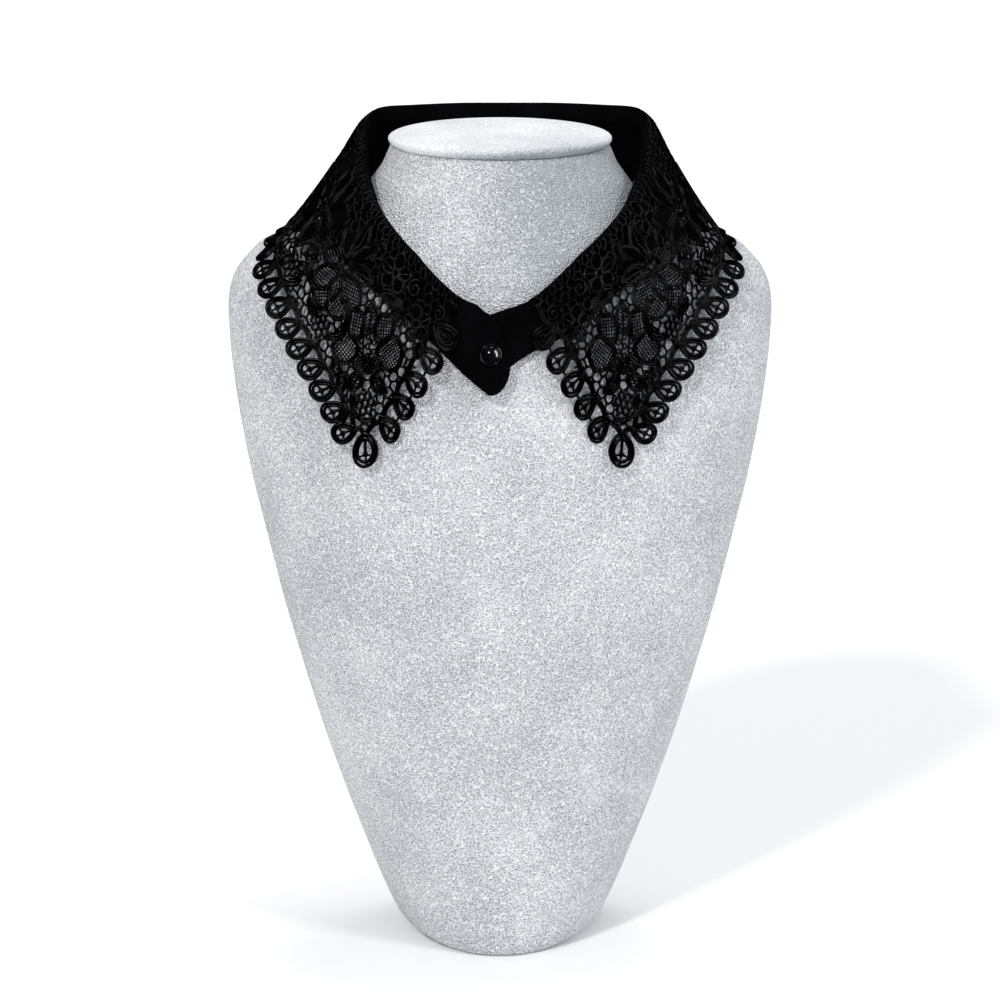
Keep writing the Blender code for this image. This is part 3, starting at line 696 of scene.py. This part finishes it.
def addFlower(centre, kind, turn, scale):
    if kind == "wings":
        addRing(centre, 1.1)
        for offset in circle(2.5 * scale, 6):
            addRing(centre, 1.05, 0.5, offset)
    else:
        addRing(centre, 1.7, 0.75)
    for heading, reach, length, half, *rest in flowerKinds[kind]:
        addPetal(centre, heading + turn, reach * scale, length * scale, half * scale, *rest)


# where each motif lies: u and v of its centre or base first; turns and angles are in degrees
rosettes = ((53, 36, 5.4), (105, 37, 5.4), (156, 46, 5.6), (186, 51, 5.4), (222, 63, 5.6))  # radius
# radius, from and to, from straight down towards the front
arcs = ((53, 34, 9.0, -70, 70), (105, 35, 9.2, -70, 70), (156, 43, 9.4, -75, 80), (172, 33, 8.0, -110, -10),
        (189, 43, 9.0, 20, 165), (189, 46, 9.6, -80, 5), (222, 61, 8.2, -75, 60), (4, 36, 8.0, -60, 80))
# kind, turn, scale
flowers = ((27, 25, "star", 0, 1.3), (79, 25, "wings", 8, 1.3), (144, 22, "shade", 20, 1.75),
           (181, 25, "fan", -14, 1.55), (211, 42, "wings", -28, 1.55), (205, 10, "bud", 20, 1.15),
           (228, 20, "bud", 0, 1.1), (166, 8, "bud", 40, 1.0))
# turn, length, half width, bend, filling; all leaves share the petal's p and q
leafCurve = (0.95, 0.8)
leaves = (*((u, v, turn, 12, 2.6, bend, fill) for u, v in ((53, 30), (105, 31))
            for turn, bend, fill in ((180, 0.0, "net"), (132, 0.5, "ribs"), (228, -0.5, "ribs"))),
          (161, 38, 190, 9, 2.6, 0.2, "net"), (166, 40, 60, 10, 2.6, 0.3, "ribs"),
          (171, 53, 60, 9, 2.4, 0.2, "veins"), (193, 14, 160, 11, 2.8, 0.4, "net"),
          (214, 18, 75, 10, 2.6, -0.4, "ribs"), (196, 34, 30, 9, 2.6, 0.2, "veins"),
          (217, 27, 165, 11, 2.8, 0.3, "veins"), (222, 33, 100, 9, 2.6, 0.4, "veins"),
          (197, 44, -10, 12, 3.0, 0.2, "veins"), (222, 52, -80, 8, 2.2, 0.4, "net"),
          (206, 58, -20, 10, 2.8, 0.3, "ribs"), (174, 46, -60, 9, 2.4, 0.4, "veins"),
          (199, 57, -50, 9, 2.6, 0.3, "net"), (214, 70, -20, 8, 2.2, 0.2, "veins"),
          (4, 26, 180, 12, 2.6, 0.0, "veins"), (141, 47, -70, 10, 2.6, 0.3, "veins"),
          (120, 46, 75, 10, 2.4, -0.3, "veins"),
          *((u, v, turn, 8, 2.2, 0.3, "ribs") for u, v, turn in ((92, 42, 60), (66, 42, -60), (40, 40, 60))),
          (236, 32, 170, 8, 2.2, 0.2, "ribs"))
# radius, turns, first angle, hand
curls = (*((u, 9, 4.0, 1.6, 90, hand) for u, hand in ((10, 1), (43, -1), (63, 1), (95, -1), (115, 1))),
         (190, 7, 3.6, 1.6, 90, 1), (218, 9, 4.0, 1.6, 60, 1), (236, 10, 3.4, 1.6, 60, -1),
         (236, 38, 3.0, 1.5, 120, 1))
for u, v, *rest in rosettes:
    addRosette((u, v), *rest)
for u, v, *rest in arcs:
    addArc((u, v), *rest)
for u, v, *rest in flowers:
    addFlower((u, v), *rest)
for u, v, turn, length, half, *rest in leaves:
    addPetal((u, v), turn, 0.0, length, half, *leafCurve, *rest)
for u, v, *rest in curls:
    addCurl((u, v), *rest)
say("flowers, leaves and curls")

# the edge: a teardrop of two cords at each place, with a vein and spokes to a knot, and scallops between them
loop = {"low": -2.9, "high": 9.0, "power": 1.0, "wide": 3.95, "slant": 0.34, "frontSlant": 0.4,
        "strand": 0.75, "half": 0.76, "knot": (0.1, 4.5), "rootOut": -1.3,
        "spokes": ((-3.3, 5.3), (3.5, 5.5), (0.4, 8.2))}
tipLoop = {"low": -1.8, "high": 7.8, "power": 0.3, "wide": 4.3}
root, ahead, out, size, across = loopPlaces()
knot = np.array(loop["knot"])
frontFrom = len(root) - edging["frontCount"] - 1


def edgeFrame(k, local):  # millimetres (along, out) at loop k, slanted to the back, except at the point
    local = np.array(local, float)
    slant = 0 if size[k] > 1 else loop["slant"] * (1 if k < frontFrom else loop["frontSlant"])
    local[:, 0] -= (local[:, 1] - knot[1]) * slant
    return root[k] + (local[:, :1] * ahead[k] + local[:, 1:] * out[k]) / [across[k], 1.0]


# a teardrop: x = W sin t sin(t/2)^m, y falls with cos t from high to low, so its point is on the inner edge
def dropShape(low, high, power, wide, **rest):
    t = np.linspace(0, 2 * math.pi, 60, endpoint=False)
    x = np.sin(t) * np.abs(np.sin(t / 2))**power
    y = high + (low - high) * (1 + np.cos(t)) / 2
    return np.stack([x * (wide / np.abs(x).max()), y], axis=-1)


scallops = []
for k in range(len(root)):
    drop = dropShape(**(loop if size[k] == 1 else tipLoop))
    for offset in (-loop["strand"], loop["strand"]):
        ring = beside(spaced(drop, 0.5, True), offset, True) * size[k]
        addStroke("cord", edgeFrame(k, ring), 0.85, loop["half"] * size[k]**0.5, 1.0, 0.2, True)
    vein = np.array([(0.0, -1.2), (0.0, 2.0), knot]) * size[k]
    addStroke("cord", edgeFrame(k, vein), 1.0, 0.75, 1.0, 0.05)
    if k == len(root) - 1:  # the last loop, on the neckband, holds a curl
        curl = spiral(0.5, 2.6, 2 + 9 * np.linspace(0, 1, 40)) + knot
        addStroke("cord", edgeFrame(k, curl), 0.8, 0.5, 1.0, 0.1)
        continue
    for end in np.array(loop["spokes"]):
        path = spaced(edgeFrame(k, np.array([end, (end + knot) / 2, knot]) * size[k]), 0.9)
        threads["ground"].append((path, 0.52 + 0.2 * np.linspace(1, -1, len(path))**2, 1.0, 0.0, False))
    threads["cord"].append((edgeFrame(k, circle(0.8, 8) + knot * size[k]), 0.7, 1.0, 0.05, True))
    s = np.linspace(0, 1, 24)[:, None]
    first, last = (edgeFrame(n, [(0, loop["rootOut"])]) for n in (k, k + 1))
    rise = unit(out[k] + out[k + 1]) * 2.1 * np.sin(math.pi * s)**0.9 / [across[k], 1.0]
    scallops.append(first * (1 - s) + last * s - rise)
    if size[k] * size[k + 1] == 1:  # neighbours touch, but for the larger one at the point
        touch = edgeFrame(k, [(4.3, 5.2)])[0], edgeFrame(k + 1, [(-4.3, 4.6)])[0]
        addStroke("ground", np.array(touch), 0.6, 0.6)
seamFoot = float(laceDepth(0.0)) - edging["inset"] - 3.2
startBend = np.linspace((0.3, seamFoot), scallops[0][0], 8)
lastBend = np.array([scallops[-1][-1], (241.4, 10.0), (241.6, 6.0), (241.4, 2.4)])
innerEdge = np.vstack([startBend, *scallops, lastBend])
for offset in (-0.66, 0.66):
    addStroke("cord", beside(spaced(innerEdge, 0.4), offset), 0.9, 0.7, 1.0, 0.2)


# the centres of the ground's cells: rows in brick bond, which two sines disturb
def lattice(wide, high, wave, rows, columns):
    row, column = np.meshgrid(np.arange(*rows), np.arange(*columns), indexing="ij")
    return np.stack([wide * (column + 0.5 * (row % 2)) + wave * np.sin(2.4 * column + 1.7 * row),
                     high * row + wave * np.sin(1.3 * column + 2.9 * row)], axis=-1).reshape(-1, 2)


def nearShoulder(u, v):  # 1 where the fall hangs over the shoulder, and its ground is worked closer
    return (smoothStep((u - 52) / 10) * smoothStep((170 - u) / 6)
            * smoothStep((43 - 0.8 * np.maximum(u - 143, 0) - v) / 4))


region = np.vstack([[(0.8, 0.3)], innerEdge, [(241.0, 0.3)]])
drawnV = np.linspace(0, 110, 2201)
realV = drawnV + 3.6 * (1 - np.exp(-drawnV))  # the real length down the lace, longer by the roll at the fold


# the net of the ground: a border of a cell runs between the centres of the circles through two neighbouring
# trios of cells, and it is drawn where the pattern is still free
def addGround(centres, kind, half, lift):
    above = centres[:, 1] / 4.6
    centres[:, 1] = np.where(centres[:, 1] > 0, np.interp(centres[:, 1], realV, drawnV), above)
    made = delaunay_2d_cdt([Vector(p) for p in centres], [], [], 0, 1e-5, False)
    spots = np.array([tuple(p) for p in made[0]])
    trios = np.array([tuple(f) for f in made[2]])
    x, y = np.moveaxis(spots[trios], -1, 0)
    square = x**2 + y**2
    rise = np.roll(y, -1, axis=1) - np.roll(y, -2, axis=1)
    run = np.roll(x, -2, axis=1) - np.roll(x, -1, axis=1)
    joints = np.stack([(square * rise).sum(axis=1), (square * run).sum(axis=1)], axis=-1)
    joints /= 2 * (x * rise).sum(axis=1)[:, None]
    sides = np.sort(np.vstack([trios[:, [0, 1]], trios[:, [1, 2]], trios[:, [2, 0]]]), axis=1)
    owner = np.tile(np.arange(len(trios)), 3)
    order = np.lexsort((sides[:, 1], sides[:, 0]))
    sides, owner = sides[order], owner[order]
    same = np.flatnonzero((sides[1:] == sides[:-1]).all(axis=1))
    borders = np.stack([joints[owner[same]], joints[owner[same + 1]]], axis=1)
    borders = borders[np.linalg.norm(borders[:, 0] - borders[:, 1], axis=1) < 6.5]
    s = np.linspace(0, 1, 25)[:, None]
    lines = borders[:, 0][:, None] * (1 - s) + borders[:, 1][:, None] * s
    free = (covered(lines) == 0) & inside(lines.reshape(-1, 2), region).reshape(len(lines), -1)
    for line, ok in zip(lines, free):
        for part in stretches(line, ok):
            path = spaced(part, 0.85)
            share = np.abs(np.linspace(-1, 1, len(path)))
            threads[kind].append((path, half + 0.28 * share**2, 0.9, lift, False))


addGround(lattice(4.5, 4.0, 0.6, (-1, 29), (-1, 58)), "ground", 0.54, 0.0)
close = lattice(2.7, 2.45, 0.35, (-1, 20), (18, 64))  # a fine close ground behind it over the shoulder
addGround(close[nearShoulder(*close.T) > 0.5], "net", 0.84, -0.45)
seam = np.stack([np.full(40, 0.75), np.linspace(1.0, seamFoot, 40)], axis=-1)
addStroke("cord", seam, 1.0, 0.55, 1.0, 0.1)
say("edge and ground")

# the lace laid on each side
fallSpec = {"fall_right": 1, "fall_left": -1}
kinds = {"cord": (laceCord, 6), "ground": (laceGround, 6), "net": (laceNet, 4)}  # coat, and sides of the tube
laceGrid = {"start": np.array([-1.0, 0.0]), "end": (252.1, 104.1), "step": 0.5}
grids = (np.arange(first, last, laceGrid["step"]) for first, last in zip(laceGrid["start"], laceGrid["end"]))
flat = np.meshgrid(*grids, indexing="ij")
lacePieces = []
for name, side in fallSpec.items():
    points = lacePoint(*flat, side)
    surface = outwardMap(points, laceGrid["start"], laceGrid["step"], [[120.0, 30.0], [200.0, 40.0]])
    pieces = []
    for kind, (coat, count) in kinds.items():
        piece = addThreads(f"{name}_{kind}", threads[kind], surface, coat, count)
        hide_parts(name)
        pieces.append(piece)
    lacePieces += pieces
say("lace falls")

# the neckband: its ends reach past the centre front, the upper one as a rounded tab
bandSpec = {"wall": 2.0, "columns": 150, "rows": 26, "high": 30.0, "clear": 1.9, "edge": 0.55,
            "tabBack": -3.5, "tabBulge": 10.9, "underReach": 6.0, "underRise": 7.0, "overDrop": 2.0,
            "topShare": 0.035}
bandRows = 0.5 - 0.5 * np.cos(np.linspace(0, math.pi, bandSpec["rows"]))  # rows closer at the two edges


def rowAt(share):
    return math.acos(1 - 2 * share) / math.pi * (bandSpec["rows"] - 1)


# one half: ruled from the fold to the band's foot; the tab reaches back + bulge sin(pi v^1.05)^0.7 further
def bandHalf(side):
    share, v = np.meshgrid(np.linspace(0, 1, bandSpec["columns"]), bandRows, indexing="ij")
    tab = bandSpec["tabBack"] + bandSpec["tabBulge"] * np.sin(math.pi * v**1.05).clip(0)**0.7
    past = tab if side < 0 else bandSpec["underReach"]
    share = share + past / fold.length * smoothStep((share - 0.86) / 0.14)
    point = foldFrame(share)[0]
    rise = -bandSpec["overDrop"] if side < 0 else bandSpec["underRise"]
    foot = bandFoot(share)
    foot = foot + unit(point - foot) * (rise * smoothStep((share - 0.8) / 0.16))[..., None]
    top = (bandSpec["topShare"] - 0.07 * smoothStep((share - 0.8) / 0.12)
           + 0.06 * smoothStep((share - 0.955) / 0.025) * (side < 0))[..., None]
    made = layOnBust(seat(point + (foot - point) * (top + (1 - top) * v[..., None]), side), bandSpec["clear"])
    if side < 0:
        made = made + bustNormal(made)[1] * endLift((1 - share) * fold.length)[..., None]
    return made


# faces of a cloth's grid, and their millimetres along and down it as its own pattern
def clothFaces(along, down):
    quads = gridFaces(len(along), len(down))[:, [0, 3, 2, 1]]
    return quads, np.stack([along[quads // len(down)], down[quads % len(down)]], axis=-1)


def addWall(piece, thick):  # cloth of this thickness, half of it on each side
    wall = piece.modifiers.new("wall", "SOLIDIFY")
    wall.thickness = thick * mm
    wall.offset = 0.0
    return wall


bandGrid = np.concatenate([bandHalf(-1)[::-1], bandHalf(1)[1:]])
columns, rows = bandGrid.shape[:2]
quads, uvs = clothFaces(np.linspace(-fold.length, fold.length, columns), bandRows * bandSpec["high"])
band = addMesh("neck_band_cloth", bandGrid.reshape(-1, 3), quads.tolist(), shirting, uvs)
addWall(band, bandSpec["wall"]).use_even_offset = False
edge = band.modifiers.new("edge", "BEVEL")
edge.width, edge.segments = bandSpec["edge"] * mm, 3
edge.limit_method, edge.angle_limit = "ANGLE", math.radians(50)
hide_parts("neck_band")
bandMap = outwardMap(bandGrid, np.zeros(2), 1.0, [[columns * 0.3, 12.0], [columns * 0.7, 12.0]])

# one row of stitches round the band, thicker at their middle, in the rows and columns of its grid
stitch = {"long": 2.4, "gap": 0.9, "inset": 1.9, "endInset": 2.4, "half": (0.16, 0.26, 0.3, 0.26, 0.16),
          "lift": 1.08}


def stitches(path):
    length = lengthAlong(bandMap(path[None])[0][0])
    starts = np.arange(0, length[-1] - stitch["long"], stitch["long"] + stitch["gap"])
    return [(readRows(start + np.linspace(0, stitch["long"], 5), length, path), np.array(stitch["half"]), 0.9,
             stitch["lift"], False) for start in starts]


low = rowAt(stitch["inset"] / bandSpec["high"])
left, right, high = stitch["endInset"], columns - 1 - stitch["endInset"], rows - 1 - low
corners = ((left, high), (right, high), (right, low), (left, low), (left, high))
counts = (900, 60, 900, 60)
sides = [np.linspace(first, last, count) for first, last, count in zip(corners, corners[1:], counts)]
around = np.concatenate([sides[0], *(part[1:] for part in sides[1:])])
stitching = addThreads("neck_band_stitching", stitches(around), bandMap, seamThread)
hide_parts("neck_band")
say("neckband")

# the heading: a close-woven tape over the band's top edge, from its inner face to the lace
tape = {"inner": ((0.13, 1.32), (0.03, 1.4)),  # share of the band's height, and depth inside its middle
        "lace": (0.02, 0.12, 0.25, 0.4), "wall": 0.5, "step": 0.35}
headingU = np.linspace(0.0, 241.9, 220)
for name, side in fallSpec.items():
    column = (columns - 1) / 2 + side * headingU / collar["long"] * foldEnd * (bandSpec["columns"] - 1)
    lines = []
    for share, depth in tape["inner"]:
        point, normal = bandMap(np.stack([column, 0 * column + rowAt(share)], axis=-1)[None])
        lines.append(point[0] - normal[0] * depth)
    lines += [lacePoint(headingU, 0 * headingU + v, side) for v in tape["lace"]]
    strip = smoothLine(np.reshape(lines, (len(lines), -1)), 8)
    quads, uvs = clothFaces(headingU, np.arange(len(strip)) * tape["step"])
    points = strip.reshape(len(strip), -1, 3).swapaxes(0, 1).reshape(-1, 3)
    heading = addMesh(f"{name}_heading", points, quads[:, ::side].tolist(), shirting, uvs[:, ::side])
    addWall(heading, tape["wall"])
    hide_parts(name)
say("heading")

# the button: a profile of radius and height turned round the normal of its place, dome, groove and rim
buttonSpec = {"stand": 7.9, "place": (-3.9, -70.0, 287.5), "segments": 96, "step": 0.14,
              "profile": ((0, -0.02), (3.2, -0.02), (4.2, 0.02), (4.75, 0.3), (4.92, 0.75), (4.88, 1.15),
                          (4.7, 1.42), (4.48, 1.42), (4.2, 1.22), (4.0, 1.1), (3.84, 1.26), (3.7, 1.54),
                          (3.48, 1.9), (3.1, 2.21), (2.5, 2.6), (1.7, 2.95), (0.9, 3.18), (0, 3.25)),
              "shankTurns": 9, "shankRadius": 1.15, "shankHalf": 0.26, "shankStep": 0.32}
base = layOnBust(np.array([buttonSpec["place"]]), buttonSpec["stand"])[0]
face = bustNormal(base)[1]
rightWay = unit(np.cross([0, 0, 1], face))
upWay = np.cross(face, rightWay)


def onAxis(flat, height):  # millimetres right, up and out from the button's seat
    return base + flat[..., :1] * rightWay + flat[..., 1:] * upWay + height * face


profile = spaced(np.array(buttonSpec["profile"]), buttonSpec["step"])
radius, height = np.maximum(profile[1:-1, :1], 0.02)[..., None], profile[1:-1, 1][:, None, None]
rings = onAxis(radius * circle(1.0, buttonSpec["segments"]), height)
ends = [base + face * profile[k, 1] for k in (0, -1)]
button = addRings("button_dome", rings, ends, buttonGloss)
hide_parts("button")


def shankPlace(path):
    flat = path[..., :1] * rightWay + path[..., 1:2] * upWay
    return base + flat * buttonSpec["shankRadius"] + face * path[..., 2:], unit(flat)


# the sewn shank: thread wound between the band and the button
shank = [(np.column_stack([circle(1.0, 16), np.full(16, -0.25 - buttonSpec["shankStep"] * k)]),
          buttonSpec["shankHalf"], 1.0, 0.0, True) for k in range(buttonSpec["shankTurns"])]
addThreads("button_shank", shank, shankPlace, seamThread)
say("button")

# the bust and its padded top: ovals |x/w|^n + |y/d|^n = 1 at each height of a table
bustSpec = {"segments": 176, "rows": 150, "high": 370.0}
capSpec = {"rows": 60, "halfWide": 50.6, "halfDeep": 46.6, "back": -0.5,
           "profile": ((369.7, 0.925), (369.95, 0.945), (370.5, 0.966), (371.4, 0.986), (372.4, 0.998),
                       (373.3, 1.0), (374.2, 0.99), (375.0, 0.962), (375.6, 0.92), (376.0, 0.86),
                       (376.25, 0.76), (376.35, 0.55), (376.35, 0.1)),
           "pucker": 0.16, "drawnIn": 0.5, "drawnAt": 4.95, "drawnReach": 0.3, "lip": 371.5, "lipReach": 2.4}


# the rows of a table, evenly spread along a smooth line through its first two columns
def smoothRows(table, count):
    dense = smoothLine(table, 12)
    length = lengthAlong(dense[:, :2])
    return readRows(np.linspace(0, length[-1], count), length, dense)


def addLoft(name, rings, coat):
    piece = addRings(name, rings, [rings[0].mean(axis=0), rings[-1].mean(axis=0)], coat)
    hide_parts(name.removesuffix("_suede"))
    return piece


turn = np.arange(bustSpec["segments"]) * 2 * math.pi / bustSpec["segments"]
z, half, front, back, power = (column[:, None] for column in smoothRows(bustRows, bustSpec["rows"]).T)
z[0], z[-1] = 0.0, bustSpec["high"]
middle = np.interp(z, *widestY)
c, s = np.cos(turn), np.sin(turn)
x = half * np.sign(c) * np.abs(c)**(2 / power)
y = middle + np.where(s < 0, middle - front, back - middle) * np.sign(s) * np.abs(s)**(2 / power)
bust = addLoft("display_bust_suede", np.stack([x, y, z + 0 * x], axis=-1), suede)

table = smoothRows(np.array(capSpec["profile"]) * [1, 50], capSpec["rows"])
z, reach = table[:, :1], table[:, 1:] / 50
# the covering puckers a little where it is drawn round the rim: a few sines round it, strongest on the lip
aside = (turn - capSpec["drawnAt"]) / capSpec["drawnReach"]
drawn = capSpec["pucker"] + capSpec["drawnIn"] * np.exp(-aside**2)
pucker = drawn * np.exp(-((z - capSpec["lip"]) / capSpec["lipReach"])**2) * (
    np.sin(23 * turn + 1.0) * np.sin(5 * turn) + 0.6 * np.sin(47 * turn))
x = (capSpec["halfWide"] * reach + pucker) * np.cos(turn)
y = (capSpec["halfDeep"] * reach + pucker) * np.sin(turn) + capSpec["back"]
addLoft("neck_cap_suede", np.stack([x, y, z + 0 * x], axis=-1), suedeTop)
say("bust")

floorSpec = {"reach": 9.0, "below": 0.0004}  # in metres, just under the bust's foot
floorCorners = [(x * floorSpec["reach"], y * floorSpec["reach"], -floorSpec["below"])
                for x, y in ((-1, -1), (1, -1), (1, 1), (-1, 1))]
floorMesh = bpy.data.meshes.new("floor")
floorMesh.from_pydata(floorCorners, [], [(0, 1, 2, 3)])
floorMesh.materials.append(paperMaterial("PaleStudioFloor", "fdfdfd", "ffffff"))
floor = bpy.data.objects.new("floor", floorMesh)
bpy.context.scene.collection.objects.link(floor)
floor.visible_glossy = False

world = bpy.data.worlds.new("studio")
bpy.context.scene.world = world
world.use_nodes = True
world.node_tree.nodes["Background"].inputs["Color"].default_value = colour("fbfcff")
world.node_tree.nodes["Background"].inputs["Strength"].default_value = 0.58
world.cycles_visibility.glossy = False  # black flags round the set, so that gloss shows only the lamps


def addLamp(name, kind, settings, aim, place=(0, 0, 0)):  # aim runs from the subject to the lamp
    lamp = bpy.data.lights.new(name, kind)
    for key, value in settings.items():
        setattr(lamp, key, value)
    made = bpy.data.objects.new(name, lamp)
    made.location = place
    made.rotation_euler = Vector(aim).to_track_quat("Z", "Y").to_euler()
    bpy.context.scene.collection.objects.link(made)
    return made


def collect(name, pieces):
    made = bpy.data.collections.new(name)
    for piece in pieces:
        made.objects.link(piece)
    return made


# broad soft suns, so that the floor is evenly lit: direction, strength, angle and colour
suns = {"keyLight": ((-0.5, -1.0, 0.9), 1.32, 7, "fffdfa"),
        "sideLight": ((0.95, -0.7, 0.8), 0.85, 12, "f8faff"),
        "topLight": ((0.1, 0.3, 1.5), 0.75, 25, "ffffff"),
        "laceLight": ((0, 0.97, -0.24), 1.3, 12, "ffffff")}
lamps = {}
for name, (aim, strength, angle, tone) in suns.items():
    settings = {"energy": strength, "angle": math.radians(angle), "color": colour(tone)[:3]}
    lamps[name] = addLamp(name, "SUN", settings, aim)
# the last sun shines from behind on the lace alone, and shows its cords on the back of the collar
lamps["laceLight"].light_linking.receiver_collection = collect("lacePieces", lacePieces)
lamps["laceLight"].light_linking.blocker_collection = collect("laceBlockers", [*lacePieces, band, bust])
# a tall strip box kept for the button alone: its reflection is the streak on the dome
glint = {"shape": "RECTANGLE", "size": 0.65, "size_y": 1.9, "energy": 115, "diffuse_factor": 0}
strip = addLamp("glintLight", "AREA", glint, (1.45, -0.84, 0.6), (1.45, -0.92, 0.9))
strip.light_linking.receiver_collection = collect("glossyPieces", [button])

# the camera, in metres: far off and a little above; perPoint is the millimetres in one point of the picture
view = {"away": 2.0, "tilt": math.radians(14), "aimHeight": 0.204, "perPoint": 0.462, "points": 1000,
        "sensor": 36.0}
lens = bpy.data.cameras.new("camera")
lens.sensor_width = view["sensor"]
lens.lens = view["sensor"] * (view["away"] / mm / view["perPoint"]) / view["points"]
lens.clip_end = 30.0
camera = bpy.data.objects.new("camera", lens)
camera.location = (0, -view["away"] * math.cos(view["tilt"]),
                   view["aimHeight"] + view["away"] * math.sin(view["tilt"]))
camera.rotation_euler = (math.pi / 2 - view["tilt"], 0, 0)
bpy.context.scene.collection.objects.link(camera)
bpy.context.scene.camera = camera
bpy.context.scene.view_settings.view_transform = "Standard"
say("stage")
